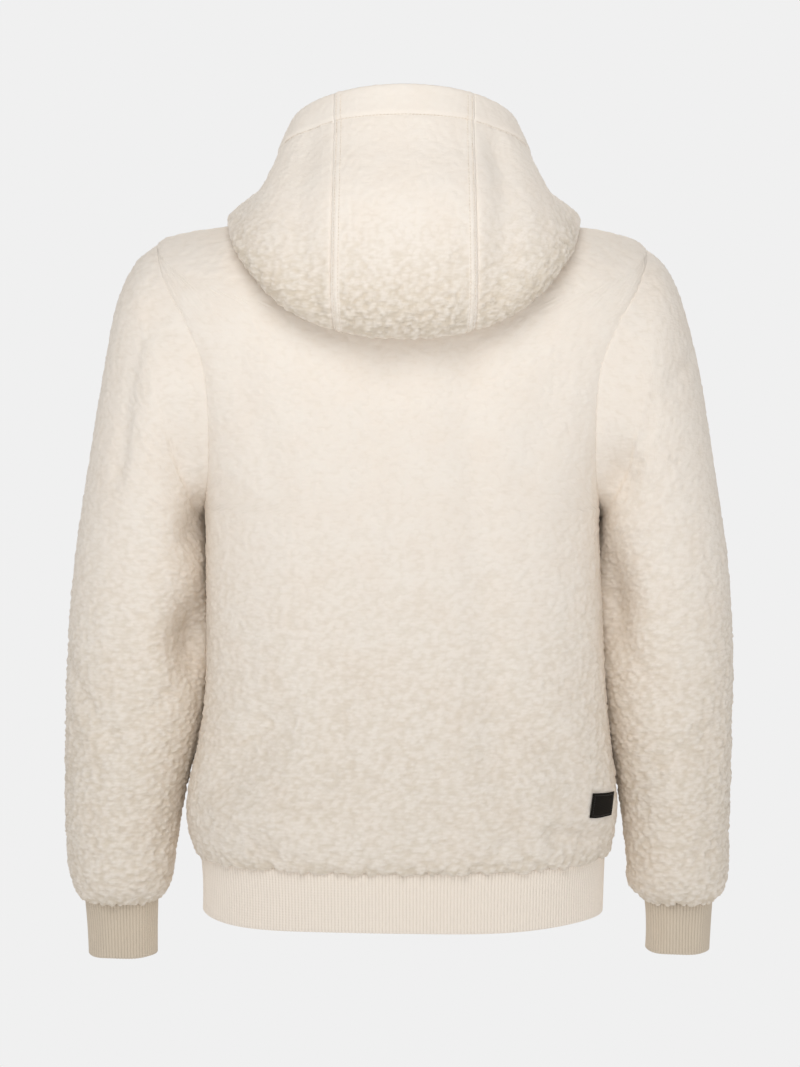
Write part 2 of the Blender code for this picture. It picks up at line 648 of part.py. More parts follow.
def hem_rib():
    level = (HEM_SHIFT, HEM_HALF_WIDTH, HEM_HALF_DEPTH)
    narrow = (HEM_SHIFT, HEM_HALF_WIDTH - HEM_TAPER, HEM_HALF_DEPTH - HEM_TAPER)
    share = (FRONT_EDGE_X / HEM_HALF_WIDTH) ** (HEM_SQUARENESS / 2)
    half_gap = math.pi / 2 - math.acos(share)
    start, stop = -math.pi / 2 + half_gap, 1.5 * math.pi - half_gap
    path = RibPath((level, narrow), HEM_SQUARENESS, start, stop, 0.0)
    top_z = TORSO_RINGS[HEM_RING][1] - SEAM_GAP
    return ribbed_wall("hem_rib", path, top_z, HEM_BOTTOM_Z, False)


def cuff(which):
    side, top_out, top_in, low_out, low_in = CUFFS[which]
    top = (side * (top_out + top_in) / 2, (top_out - top_in) / 2, CUFF_HALF_DEPTH)
    low = (side * (low_out + low_in) / 2, (low_out - low_in) / 2, CUFF_HALF_DEPTH - 0.001)
    path = RibPath((top, low), 2.2, 0.0, 2 * math.pi, CUFF_BACK_Y)
    return ribbed_wall(f"cuff_{which}", path, CUFF_TOP_Z, CUFF_BOTTOM_Z[which], True)


def zip_line(rings):
    """Points of the front's middle line and its outward direction, on the cloth's outer face."""
    angles = np.full_like(rings, -math.pi / 2)
    return torso(angles, rings), torso_normal(angles, rings)


def zip_tape(name, side):
    """Tape behind the front's edge, with its half of the chain raised beside the middle line."""
    rings = torso_rows()[1:]
    behind = FLEECE_WALL + SEAM_GAP
    # across the tape: x, and how far behind the cloth's face its front is
    section = [
        (SEAM_GAP / 2, behind - CHAIN_RAISE),
        (CHAIN_HALF, behind - CHAIN_RAISE),
        (CHAIN_HALF + SEAM_GAP, behind),
        (TAPE_WIDTH, behind),
    ]
    outer, inner = [], []
    for ring in rings:
        at = np.full(len(section), ring)
        x = np.array([side * place for place, _ in section])
        angles = angle_at(x, at, False)
        points, out = torso(angles, at), wall_direction(angles, at)
        points[:, 0] = x
        front = np.array([depth for _, depth in section])[:, None]
        outer.append(points - out * front)
        inner.append(points - out * (behind + TAPE_WALL))
    face_y = -HEM_HALF_DEPTH + RIB_WALL + SEAM_GAP
    for z, taper in ((TORSO_RINGS[HEM_RING][1] - SEAM_GAP, 0.0), (HEM_BOTTOM_Z + SEAM_GAP, HEM_TAPER)):
        outer.append([(side * x, face_y + taper - behind + depth, z) for x, depth in section])
        inner.append([(side * x, face_y + taper + TAPE_WALL, z) for x, _ in section])
    return wall(name, np.array(outer), np.array(inner), "tape")


def box(name, low, high):
    shaped = bmesh.new()
    bmesh.ops.create_cube(shaped, size=1.0)
    low, high = np.array(low), np.array(high)
    for corner in shaped.verts:
        corner.co = tuple((low + high) / 2 + np.array(corner.co) * (high - low))
    mesh = bpy.data.meshes.new(name)
    shaped.to_mesh(mesh)
    shaped.free()
    return bpy.data.objects.new(name, mesh)


def bar(name, radius, half, sides=16):
    """A round bar along X, centred on its object's origin."""
    shaped = bmesh.new()
    bmesh.ops.create_cone(
        shaped, cap_ends=True, segments=sides, radius1=radius, radius2=radius, depth=2 * half
    )
    for corner in shaped.verts:
        x, y, z = corner.co
        corner.co = (z, y, -x)
    mesh = bpy.data.meshes.new(name)
    shaped.to_mesh(mesh)
    shaped.free()
    return bpy.data.objects.new(name, mesh)


def boolean(target, other, operation):
    """Joins or cuts with the EXACT solver. The other object stays as a hidden cutter."""
    CUTTERS.objects.link(other)
    other.hide_render = True
    other.display_type = "WIRE"
    change = target.modifiers.new(other.name, "BOOLEAN")
    change.operation = operation
    change.object = other
    return change


def slider_place():
    middle, out = zip_line(np.array([SLIDER_RING]))
    lean = math.atan2(out[0][2], -out[0][1])
    return middle[0] * (0, 1, 1), out[0], lean


def place(obj, at, lean):
    """Puts an object at a point of the zip line, leaning with the cloth. Local -Y points out of it."""
    obj.location = tuple(at)
    obj.rotation_euler = (-lean, 0.0, 0.0)


def zip_parts():
    """The slider with two ears and a pin, and the pull tab whose barrel turns on the pin."""
    at, out, lean = slider_place()
    chain_face = FLEECE_WALL + SEAM_GAP - CHAIN_RAISE
    back_y = chain_face - SEAM_GAP
    front_y = back_y - 0.0022
    pin_y = front_y - BARREL_RADIUS - SEAM_GAP
    slider = box("zip_slider", (-0.0048, front_y, -0.0085), (0.0048, back_y, 0.0055))
    place(slider, at, lean)
    for side in (-1, 1):
        inner_x = side * (BARREL_HALF + SEAM_GAP)
        outer_x = inner_x + side * EAR_WALL
        low_x, high_x = min(inner_x, outer_x), max(inner_x, outer_x)
        ear = box(f"ear_{side + 1}", (low_x, pin_y - 0.0016, -0.0020), (high_x, back_y - 0.0010, 0.0020))
        place(ear, at, lean)
        boolean(slider, ear, "UNION")
    pin = bar("pin", PIN_RADIUS, BARREL_HALF + EAR_WALL)
    turn = math.cos(lean), math.sin(lean)
    axis_at = at + np.array((0, pin_y * turn[0], -pin_y * turn[1]))
    place(pin, axis_at, lean)
    boolean(slider, pin, "UNION")
    link(slider, "zip_slider", "metal")

    tab = bar("pull_tab", BARREL_RADIUS, BARREL_HALF)
    place(tab, axis_at, lean)
    plate = box("plate", (-0.0024, -TAB_WALL / 2, -0.0100), (0.0024, TAB_WALL / 2, -0.0010))
    grip = box("grip", (-0.0040, -TAB_WALL / 2, -TAB_LENGTH), (0.0040, TAB_WALL / 2, -0.0080))
    bore = bar("bore", BORE_RADIUS, 2 * BARREL_HALF)
    for other, operation in ((plate, "UNION"), (grip, "UNION"), (bore, "DIFFERENCE")):
        place(other, axis_at, lean)
        boolean(tab, other, operation)
    link(tab, "pull_tab", "metal")
    return axis_at


def label():
    rings = np.linspace(*LABEL_RINGS, 4)
    outer, inner = [], []
    for ring in rings:
        ends = [float(angle_at(np.array(x), np.array(ring), True)) for x in LABEL_X]
        angles = even_angles(ends[0], ends[1], ring, 4)
        at = np.full(4, ring)
        points, out = torso(angles, at), torso_normal(angles, at)
        inner.append(points + out * LABEL_LIFT)
        outer.append(points + out * (LABEL_LIFT + LABEL_WALL))
    return wall("label", np.array(outer), np.array(inner), "label")


def build():
    torso_panel("back", True, 0, 25)
    torso_panel("front_left", False, 1, 13)
    torso_panel("front_right", False, -1, 13)
    sleeve("sleeve_left", 1, SLEEVE_LEFT)
    sleeve("sleeve_right", -1, SLEEVE_RIGHT)
    hood_panel("hood_centre", 0, 8)
    hood_panel("hood_left", 1, 18)
    hood_panel("hood_right", -1, 18)
    hem_rib()
    cuff("left")
    cuff("right")
    zip_tape("zip_tape_left", 1)
    zip_tape("zip_tape_right", -1)
    zip_parts()
    label()


clear_scene()
GARMENT = bpy.data.collections.new("teddy_fleece_jacket")
CUTTERS = bpy.data.collections.new("cutters")
bpy.context.scene.collection.children.link(GARMENT)
bpy.context.scene.collection.children.link(CUTTERS)
build()
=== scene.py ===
import math

import bmesh
import bpy
import numpy as np
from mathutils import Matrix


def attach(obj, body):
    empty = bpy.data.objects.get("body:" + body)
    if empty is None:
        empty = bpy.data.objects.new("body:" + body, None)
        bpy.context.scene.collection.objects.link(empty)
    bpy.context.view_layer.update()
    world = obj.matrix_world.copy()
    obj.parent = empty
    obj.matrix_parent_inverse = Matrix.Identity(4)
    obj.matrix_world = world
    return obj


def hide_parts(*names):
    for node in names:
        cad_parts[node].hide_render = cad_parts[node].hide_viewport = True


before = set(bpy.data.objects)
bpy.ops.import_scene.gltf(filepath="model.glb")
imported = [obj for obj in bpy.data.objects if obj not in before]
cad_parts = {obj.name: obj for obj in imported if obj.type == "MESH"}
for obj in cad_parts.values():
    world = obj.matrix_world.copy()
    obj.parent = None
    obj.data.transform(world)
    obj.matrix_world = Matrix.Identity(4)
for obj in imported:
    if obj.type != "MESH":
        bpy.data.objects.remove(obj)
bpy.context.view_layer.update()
print("frame loaded:", len(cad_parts), "nodes")


# small helpers

def fromHex(code):
    # sRGB hex to the linear colour a shader wants
    parts = [int(code[k:k + 2], 16) / 255 for k in (0, 2, 4)]
    return (*[p / 12.92 if p <= 0.04045 else ((p + 0.055) / 1.055) ** 2.4 for p in parts], 1.0)


def addNode(tree, kind, inputs=None, stops=(), **settings):
    # adds a node, sets its options and any colour stops, then sets or links its inputs
    node = tree.nodes.new(kind)
    for key, value in settings.items():
        setattr(node, key, value)
    for k, (spot, colour) in enumerate(stops):
        stop = node.color_ramp.elements[k] if k < 2 else node.color_ramp.elements.new(spot)
        stop.position = spot
        stop.color = fromHex(colour)
    for key, value in (inputs or {}).items():
        if isinstance(value, bpy.types.NodeSocket):
            tree.links.new(value, node.inputs[key])
        else:
            node.inputs[key].default_value = value
    return node


def unit(vectors):
    return vectors / np.maximum(np.linalg.norm(vectors, axis=-1, keepdims=True), 1e-12)


def smoothSpan(before, start, end, after, t):
    # the stretch from start to end of a smooth curve through all four
    return (
        start * (2 * t**3 - 3 * t**2 + 1) + (end - before) / 2 * (t**3 - 2 * t**2 + t)
        + end * (3 * t**2 - 2 * t**3) + (after - start) / 2 * (t**3 - t**2)
    )


def through(rows, at):
    # a smooth curve through the rows, read at places counted in rows
    rows = np.asarray(rows, float)
    last = len(rows) - 1
    at = np.clip(np.asarray(at, float), 0.0, last)
    low = np.minimum(at.astype(int), last - 1)
    t = (at - low).reshape(at.shape + (1,) * (rows.ndim - 1))
    before, after = rows[np.maximum(low - 1, 0)], rows[np.minimum(low + 2, last)]
    return smoothSpan(before, rows[low], rows[low + 1], after, t)


def runLength(points):
    steps = np.linalg.norm(np.diff(points, axis=0), axis=-1)
    return np.concatenate([np.zeros((1,) + steps.shape[1:]), np.cumsum(steps, axis=0)])


def edgeDistance(points, axis, atEnd):
    # how far each point of a panel is from one of its edges, along the cloth
    lines = np.moveaxis(points, axis, 0)
    run = runLength(lines[::-1])[::-1] if atEnd else runLength(lines)
    return np.moveaxis(run, 0, axis)


def lineAt(points, away, value, axis):
    # the line of points at one distance from a panel's edge
    lines, runs = np.moveaxis(points, axis, 0), np.moveaxis(away, axis, 0)
    found = []
    for k in range(lines.shape[1]):
        order = np.argsort(runs[:, k])
        found.append([np.interp(value, runs[order, k], lines[order, k, c]) for c in range(3)])
    return np.array(found)


def swell(off, half):
    return np.exp(-(off / half) ** 2)


def smoothStep(low, high, value):
    t = np.clip((value - low) / (high - low), 0, 1)
    return t * t * (3 - 2 * t)


def fold(across, up, start, stop, deep, half, ends):
    # a soft trough from start to stop, whose ends fade out over this many half widths
    length = math.hypot(stop[0] - start[0], stop[1] - start[1])
    wayAcross, wayUp = (stop[0] - start[0]) / length, (stop[1] - start[1]) / length
    offAcross, offUp = across - start[0], up - start[1]
    run = offAcross * wayAcross + offUp * wayUp
    past = np.maximum(np.maximum(-run, run - length), 0.0)
    return deep * swell(offAcross * wayUp - offUp * wayAcross, half) * swell(past, ends * half)


# the cloth's own sizes, in metres

cloth = {
    "wall": 0.0040,      # pile and backing together
    "sink": 0.0006,      # the pile's roots sit this far in, and the curls come back out
    "seamGap": 0.0003,
    "coarse": 4,         # the inside has one face to this many on the pile side, each way
    "frontEdgeX": 0.0065,   # from the middle of the zip to each front's edge
    # how the pile sinks where two pieces are sewn, over how far, and how much flatter it lies there
    "seamDip": 0.0011, "seamHalf": 0.0080, "seamFlat": 0.15,
    # curls over the rib: how far up they hang from and stand out from, and how much taller they get
    "hangHalf": 0.006, "standHalf": 0.010, "taller": 0.35,
}

torsoShape = {
    # half width, side height, back depth, back height, front depth, front height, squareness, shift
    "rings": [
        (0.0880, 0.0060, 0.0660, 0.0000, 0.0930, -0.0700, 2.00, 0.0000),
        (0.1250, -0.0010, 0.0800, -0.0220, 0.1030, -0.0800, 2.05, 0.0000),
        (0.1700, -0.0120, 0.0940, -0.0460, 0.1120, -0.0960, 2.20, 0.0000),
        (0.2120, -0.0180, 0.1060, -0.0720, 0.1190, -0.1150, 2.40, 0.0000),
        (0.2420, -0.0290, 0.1150, -0.1010, 0.1250, -0.1380, 2.60, 0.0000),
        (0.2500, -0.0620, 0.1210, -0.1310, 0.1295, -0.1630, 2.80, 0.0000),
        (0.2400, -0.1080, 0.1250, -0.1640, 0.1325, -0.1920, 2.90, 0.0000),
        (0.2220, -0.1620, 0.1280, -0.2010, 0.1345, -0.2230, 2.90, 0.0000),
        (0.2060, -0.2260, 0.1290, -0.2450, 0.1345, -0.2580, 2.80, 0.0000),
        (0.1962, -0.2900, 0.1275, -0.2920, 0.1330, -0.2950, 2.60, 0.0000),
        (0.1962, -0.3460, 0.1250, -0.3460, 0.1305, -0.3460, 2.50, -0.0010),
        (0.1975, -0.4020, 0.1235, -0.4020, 0.1280, -0.4020, 2.45, -0.0025),
        (0.1992, -0.4580, 0.1240, -0.4580, 0.1275, -0.4580, 2.40, -0.0035),
        (0.2045, -0.5140, 0.1275, -0.5140, 0.1295, -0.5140, 2.40, -0.0030),
        (0.2115, -0.5530, 0.1335, -0.5530, 0.1345, -0.5530, 2.40, -0.0010),
        (0.2150, -0.5830, 0.1380, -0.5830, 0.1385, -0.5830, 2.40, 0.0000),
        (0.2145, -0.6060, 0.1390, -0.6060, 0.1390, -0.6060, 2.40, 0.0002),
        (0.2105, -0.6240, 0.1355, -0.6240, 0.1355, -0.6240, 2.40, 0.0000),
        (0.2055, -0.6340, 0.1310, -0.6340, 0.1310, -0.6340, 2.40, -0.0005),
    ],
    "shoulderFall": 1.4,
    "shoulderDrop": 0.0050,
    "dropFromX": 0.1750,
    "tipRing": 4,
    "armpitRing": 9,
    "hemRing": 18,
    # ring, half the width between the armholes on the back and on the front
    "armhole": [
        (4.0, 0.2420, 0.2420),
        (4.5, 0.2290, 0.2270),
        (5.0, 0.2110, 0.2060),
        (6.0, 0.1930, 0.1830),
        (7.0, 0.1880, 0.1760),
        (8.0, 0.1880, 0.1790),
        (8.5, 0.1905, 0.1860),
        (9.0, 0.1962, 0.1962),
    ],
    "armholeRows": (4.0, 4.2, 4.5, 5.0, 5.6, 6.4, 7.2, 8.0, 8.5, 8.8, 9.0),
    "squeeze": 1.7,
    "foldEnds": 1.6,
    # start x and z, end x and z, depth (a ridge is negative), half width
    "backFolds": [
        (0.0150, -0.1600, 0.0650, -0.5200, 0.0050, 0.022),
        (-0.0600, -0.1500, -0.0920, -0.5400, 0.0062, 0.020),
        (-0.1520, -0.6030, -0.1800, -0.6090, 0.0105, 0.010),
        (0.1280, -0.5030, 0.1620, -0.5430, 0.0125, 0.022),
        (0.1250, -0.5850, 0.1700, -0.5810, -0.0060, 0.018),
        (-0.1200, -0.4950, -0.1500, -0.5350, 0.0030, 0.020),
        (0.1500, -0.1700, 0.1250, -0.2500, 0.0022, 0.016),
        (-0.1450, -0.1750, -0.1180, -0.2550, 0.0020, 0.015),
        (-0.1290, -0.5080, -0.1480, -0.5220, 0.0016, 0.012),
        (0.0000, -0.1900, -0.0120, -0.5000, -0.0014, 0.020),
        (0.1050, -0.3000, 0.1180, -0.4600, -0.0016, 0.020),
        (-0.1400, -0.3000, -0.1450, -0.4700, -0.0014, 0.018),
        (0.0300, -0.5750, 0.0620, -0.6050, 0.0022, 0.014),
        (-0.0550, -0.5850, -0.0300, -0.6100, 0.0018, 0.013),
        (-0.1180, -0.5850, -0.1000, -0.6100, 0.0020, 0.012),
        (0.1480, -0.6080, 0.1300, -0.6180, 0.0020, 0.012),
    ],
    "frontFolds": [
        (0.0700, -0.2200, 0.0850, -0.5400, 0.0040, 0.022),
        (-0.0600, -0.2600, -0.0720, -0.5500, 0.0038, 0.022),
        (0.1350, -0.5600, 0.1600, -0.5950, 0.0040, 0.022),
        (0.1450, -0.1850, 0.1150, -0.2700, 0.0022, 0.016),
        (-0.1450, -0.1850, -0.1130, -0.2650, 0.0022, 0.015),
        (-0.1300, -0.5300, -0.1600, -0.5700, 0.0030, 0.020),
        (0.0450, -0.5800, 0.0700, -0.6080, 0.0020, 0.013),
        (-0.0500, -0.5750, -0.0760, -0.6080, 0.0022, 0.014),
        (0.0250, -0.3000, 0.0300, -0.4300, 0.0012, 0.012),
        (-0.0260, -0.4200, -0.0300, -0.5500, 0.0012, 0.012),
    ],
}


def foldDepth(folds, x, z):
    depth = np.zeros_like(x)
    for x0, z0, x1, z1, deep, half in folds:
        depth += fold(x, z, (x0, z0), (x1, z1), deep, half, torsoShape["foldEnds"])
    return depth


def torso(angle, ring):
    # angle 0 at the wearer's left side, a quarter turn at the middle back
    angle, ring = np.broadcast_arrays(np.asarray(angle, float), np.asarray(ring, float))
    half, sideZ, back, backZ, front, frontZ, square, shift = np.moveaxis(
        through(torsoShape["rings"], ring), -1, 0)
    across, deep = np.cos(angle), np.sin(angle)
    isBack = deep >= 0
    depth = np.where(isBack, back, front)
    midZ = np.where(isBack, backZ, frontZ)
    shareX = np.sign(across) * np.abs(across) ** (2 / square)
    shareY = np.abs(deep) ** (2 / square)
    x = shift + half * shareX
    y = np.sign(deep) * depth * shareY
    z = sideZ + (midZ - sideZ) * shareY ** torsoShape["shoulderFall"]
    tip, armpit, start = torsoShape["tipRing"], torsoShape["armpitRing"], torsoShape["dropFromX"]
    past = np.clip((-x - start) / (torsoShape["rings"][tip][0] - start), 0.0, 1.0)
    z = z - torsoShape["shoulderDrop"] * past**2 * np.clip((armpit - ring) / (armpit - tip), 0, 1)
    pushed = np.where(isBack, foldDepth(torsoShape["backFolds"], x, z),
                      foldDepth(torsoShape["frontFolds"], x, z))
    y = y - np.sign(deep) * pushed * np.minimum(shareY * 1.6, 1.0)
    return np.stack([x, y, z], -1)


def torsoNormal(angle, ring):
    # straight up at the neck edge, where the wall is cut level
    angle, ring = np.broadcast_arrays(np.asarray(angle, float), np.asarray(ring, float))
    roundWay = torso(angle + 0.01, ring) - torso(angle - 0.01, ring)
    downWay = (torso(angle, np.minimum(ring + 0.05, torsoShape["hemRing"]))
               - torso(angle, np.maximum(ring - 0.05, 0.0)))
    down = np.clip(1.0 - ring, 0.0, 1.0)[..., None]
    return unit((1.0 - down) * unit(np.cross(downWay, roundWay)) + down * np.array((0.0, 0.0, 1.0)))


def angleAt(x, ring, isBack):
    half, square, shift = np.moveaxis(through(torsoShape["rings"], ring)[..., [0, 6, 7]], -1, 0)
    share = np.clip((x - shift) / half, -1.0, 1.0)
    angle = np.arccos(np.sign(share) * np.abs(share) ** (square / 2))
    return angle if isBack else -angle


def armholeAngle(ring, isBack):
    table = np.array(torsoShape["armhole"])
    rows = np.interp(ring, table[:, 0], np.arange(len(table)))
    x = through(table[:, 1:], rows)[..., 0 if isBack else 1]
    shift = through(torsoShape["rings"], ring)[..., 7]
    angle = np.abs(angleAt(x + shift, ring, True))
    inside = (ring > torsoShape["tipRing"]) & (ring < torsoShape["armpitRing"])
    return np.where(inside, angle, 0.0)


def panelAngles(start, stop, sideStart, sideStop, ring, count):
    # even across the cloth, closing up beside an armhole
    fine = sideStart + (sideStop - sideStart) * (0.5 - 0.5 * np.cos(np.linspace(0, math.pi, 400)))
    run = runLength(torso(fine, np.full_like(fine, ring)))
    way = 1 if sideStop > sideStart else -1
    cutStart = np.interp(start * way, fine * way, run)
    cutStop = run[-1] - np.interp(stop * way, fine * way, run)
    share = np.linspace(0, 1, count)
    squeeze = torsoShape["squeeze"]
    at = run[-1] * share + cutStart * (1 - share) ** squeeze - cutStop * share**squeeze
    return np.interp(at, run, fine)


# materials

materials = {}


def newMaterial(name):
    # an empty material, and the places on the object that its patterns follow
    made = bpy.data.materials.new(name)
    made.use_nodes = True
    made.node_tree.nodes.clear()
    materials[name] = made
    return made.node_tree, addNode(made.node_tree, "ShaderNodeTexCoord").outputs["Object"]


def finishMaterial(tree, colour, roughness, height, strength, depth, under=None, **more):
    # the shader over a relief, whose depth is in metres
    relief = {"Height": height, "Strength": strength, "Distance": depth}
    if under is not None:
        relief["Normal"] = under
    normal = addNode(tree, "ShaderNodeBump", relief).outputs[0]
    shader = addNode(tree, "ShaderNodeBsdfPrincipled",
                     {"Base Color": colour, "Roughness": roughness, "Normal": normal, **more})
    addNode(tree, "ShaderNodeOutputMaterial", {"Surface": shader.outputs[0]})


def waveScale(spacing):
    # for lines this many mm apart: the texture draws them nearly twice as far apart, so that they show
    return 1000 / spacing / 6.283


teddyLook = {
    "paintedValleyShade": "ddd1c0", "body": "f1e8dd", "tip": "f6efe6",   # cream polyester, with painted shade between the curls, warmer there, and a painted highlight on their tips
    "warm": "f4e6d8", "warmShare": 0.14, "patch": 30,        # nap drifts in patches about 35 mm across
    "stretch": (0.55, 0.55, 1.3),                            # fibres and loops lie wider than they are tall
    "fibreScale": 1000, "loopScale": 300,                    # 1.8 by 0.8 mm and 6 by 2.6 mm, coarser than real
    "fibreBump": 0.18, "loopBump": 0.42,
    # how strong the curls' painted highlight and shade are, and how much painted shade taller pile gets
    "middle": 0.45, "curlShadeStrength": 0.42, "paintedTallPileShade": 0.60, "toneReach": 0.85,
}


def teddyPile(look):
    # polyester sherpa, knitted then brushed: dry curls, with a painted highlight on their tips and edges and painted
    # shade between them
    tree, place = newMaterial("teddyPile")
    flat = addNode(tree, "ShaderNodeMapping", {"Vector": place, "Scale": look["stretch"]}).outputs[0]
    curlShade = addNode(tree, "ShaderNodeAttribute", attribute_name="curlShade").outputs["Fac"]
    pile = addNode(tree, "ShaderNodeAttribute", attribute_name="pile").outputs["Fac"]
    fibre = addNode(tree, "ShaderNodeTexNoise", {"Vector": flat, "Scale": look["fibreScale"], "Detail": 2.0,
                                                 "Roughness": 0.6}).outputs["Fac"]
    loop = addNode(tree, "ShaderNodeTexVoronoi", {"Vector": flat, "Scale": look["loopScale"],
                                                  "Smoothness": 0.5}, feature="SMOOTH_F1").outputs["Distance"]
    drift = addNode(tree, "ShaderNodeTexNoise",
                    {"Vector": place, "Scale": look["patch"], "Detail": 2.0}).outputs["Fac"]
    # painted highlight on top of the curls and loops and painted shade between them, and more painted shade where the
    # pile stands taller, so the cloth is painted darker towards the bottom and under the hood's fold
    onLoop = addNode(tree, "ShaderNodeMath", {0: look["middle"], 1: loop}, operation="SUBTRACT").outputs[0]
    onLoop = addNode(tree, "ShaderNodeMath", {0: onLoop, 1: pile}, operation="MULTIPLY").outputs[0]
    onCurl = addNode(tree, "ShaderNodeMath", {0: curlShade, 1: onLoop}, operation="ADD").outputs[0]
    light = addNode(tree, "ShaderNodeMath", {0: onCurl, 1: look["curlShadeStrength"]}, operation="MULTIPLY").outputs[0]
    tallPileShadeMask = addNode(tree, "ShaderNodeMath", {0: pile, 1: look["middle"]}, operation="SUBTRACT").outputs[0]
    dark = addNode(tree, "ShaderNodeMath", {0: tallPileShadeMask, 1: look["paintedTallPileShade"]}, operation="MULTIPLY").outputs[0]
    tone = addNode(tree, "ShaderNodeMath", {0: light, 1: dark}, operation="SUBTRACT").outputs[0]
    tone = addNode(tree, "ShaderNodeMapRange", {"Value": tone, "From Min": -look["toneReach"],
                                                "From Max": look["toneReach"]}).outputs[0]
    # the first stop is painted shade between the curls, the last a painted highlight on their tips
    colour = addNode(tree, "ShaderNodeValToRGB", {"Fac": tone},
                     [(0.0, look["paintedValleyShade"]), (1.0, look["tip"]), (0.45, look["body"])]).outputs["Color"]
    warm = addNode(tree, "ShaderNodeMapRange", {"Value": drift, "From Min": 0.35, "From Max": 0.75,
                                                "To Max": look["warmShare"]}).outputs[0]
    mixed = addNode(tree, "ShaderNodeMix", {0: warm, 6: colour, 7: fromHex(look["warm"])},
                    data_type="RGBA", blend_type="MULTIPLY").outputs[2]
    loopUp = addNode(tree, "ShaderNodeMath", {0: 1.0, 1: loop}, operation="SUBTRACT").outputs[0]
    loopUp = addNode(tree, "ShaderNodeMath", {0: loopUp, 1: pile}, operation="MULTIPLY").outputs[0]
    loops = addNode(tree, "ShaderNodeBump",
                    {"Strength": look["loopBump"], "Distance": 0.0012, "Height": loopUp}).outputs[0]
    finishMaterial(tree, mixed, 0.95, fibre, look["fibreBump"], 0.0006, under=loops,
                   **{"Sheen Weight": 0.10, "Sheen Roughness": 0.55, "Sheen Tint": fromHex("fff6ea"),
                      "Specular IOR Level": 0.12})


backingLook = {"face": "e9ddcf", "groove": "d6c8b7", "wale": 1.6}  # knit wales in mm, coarser than real


def knitBacking(look):
    # the pile cloth's flat knit back: matt, with fine wales running up and down
    tree, place = newMaterial("knitBacking")
    upright = addNode(tree, "ShaderNodeMapping", {"Vector": place, "Scale": (1.0, 1.0, 0.25)}).outputs[0]
    wale = addNode(tree, "ShaderNodeTexNoise",
                   {"Vector": upright, "Scale": 1000 / look["wale"], "Detail": 1.0}).outputs["Fac"]
    cloud = addNode(tree, "ShaderNodeTexNoise", {"Vector": place, "Scale": 90.0, "Detail": 3.0}).outputs["Fac"]
    tone = addNode(tree, "ShaderNodeMath", {0: wale, 1: cloud}, operation="MULTIPLY").outputs[0]
    colour = addNode(tree, "ShaderNodeValToRGB", {"Fac": tone},
                     [(0.12, look["groove"]), (0.42, look["face"])]).outputs["Color"]
    finishMaterial(tree, colour, 0.92, wale, 0.35, 0.0005, **{"Sheen Weight": 0.15, "Specular IOR Level": 0.15})


# low is the painted shade between the wales, high the cream on their tops
hemLook = {"high": "f6ebde", "low": "e6dacb", "stitch": 1.3}   # one knit stitch up a rib, in mm
shadedCuffLook = {"high": "d6c8b5", "low": "c2b4a0", "stitch": 1.3}  # the same rib with painted shade: the cuffs are painted darker and greyer all over


def ribKnit(name, look):
    # cotton and elastane rib: rounded wales, deeper between them, with painted shade there
    tree, place = newMaterial(name)
    high = addNode(tree, "ShaderNodeAttribute", attribute_name="rib").outputs["Fac"]
    loops = addNode(tree, "ShaderNodeTexWave", {"Vector": place, "Scale": waveScale(look["stitch"]),
                                                "Distortion": 1.5, "Detail": 1.0, "Detail Scale": 2.0},
                    wave_type="BANDS", bands_direction="Z").outputs["Fac"]
    fuzz = addNode(tree, "ShaderNodeTexNoise", {"Vector": place, "Scale": 900.0, "Detail": 2.0}).outputs["Fac"]
    faint = addNode(tree, "ShaderNodeMath", {0: fuzz, 1: 0.30}, operation="MULTIPLY").outputs[0]
    tone = addNode(tree, "ShaderNodeMath", {0: high, 1: faint}, operation="ADD").outputs[0]
    # painted shade: the colour darkens where the rib's surface sinks between the wales
    colour = addNode(tree, "ShaderNodeValToRGB", {"Fac": tone},
                     [(0.10, look["low"]), (0.85, look["high"])]).outputs["Color"]
    relief = addNode(tree, "ShaderNodeMath", {0: loops, 1: fuzz}, operation="ADD").outputs[0]
    finishMaterial(tree, colour, 0.90, relief, 0.30, 0.0004, **{"Sheen Weight": 0.12, "Specular IOR Level": 0.15})


threadLooks = {"creamThread": {"light": "f1e7da", "dark": "dccfbe"},
               "blackThread": {"light": "26231e", "dark": "14120f"}}


def threadMaterial(name, look):
    # polyester sewing thread: slightly glossy, twisted
    tree, place = newMaterial(name)
    twist = addNode(tree, "ShaderNodeTexNoise", {"Vector": place, "Scale": 1500.0, "Detail": 1.0}).outputs["Fac"]
    colour = addNode(tree, "ShaderNodeValToRGB", {"Fac": twist},
                     [(0.35, look["dark"]), (0.65, look["light"])]).outputs["Color"]
    finishMaterial(tree, colour, 0.55, twist, 0.3, 0.0002, **{"Sheen Weight": 0.1})


tapeLook = {"light": "e3d8c9", "dark": "cdbfac", "pitch": 0.9}  # herringbone pitch in mm


def wovenTape(look):
    # woven polyester tape: flat, with a tight herringbone
    tree, place = newMaterial("wovenTape")
    mirrored = addNode(tree, "ShaderNodeVectorMath", {0: place}, operation="ABSOLUTE").outputs[0]
    lines = addNode(tree, "ShaderNodeTexWave", {"Vector": mirrored, "Scale": waveScale(look["pitch"])},
                    wave_type="BANDS", bands_direction="DIAGONAL").outputs["Fac"]
    wear = addNode(tree, "ShaderNodeTexNoise", {"Vector": place, "Scale": 300.0, "Detail": 3.0}).outputs["Fac"]
    tone = addNode(tree, "ShaderNodeMath", {0: lines, 1: wear}, operation="MULTIPLY").outputs[0]
    colour = addNode(tree, "ShaderNodeValToRGB", {"Fac": tone},
                     [(0.05, look["dark"]), (0.45, look["light"])]).outputs["Color"]
    finishMaterial(tree, colour, 0.75, lines, 0.4, 0.0003, **{"Specular IOR Level": 0.25})


coilLook = {"dark": "d4c6b2", "light": "e6dac8", "rough": (0.34, 0.50)}


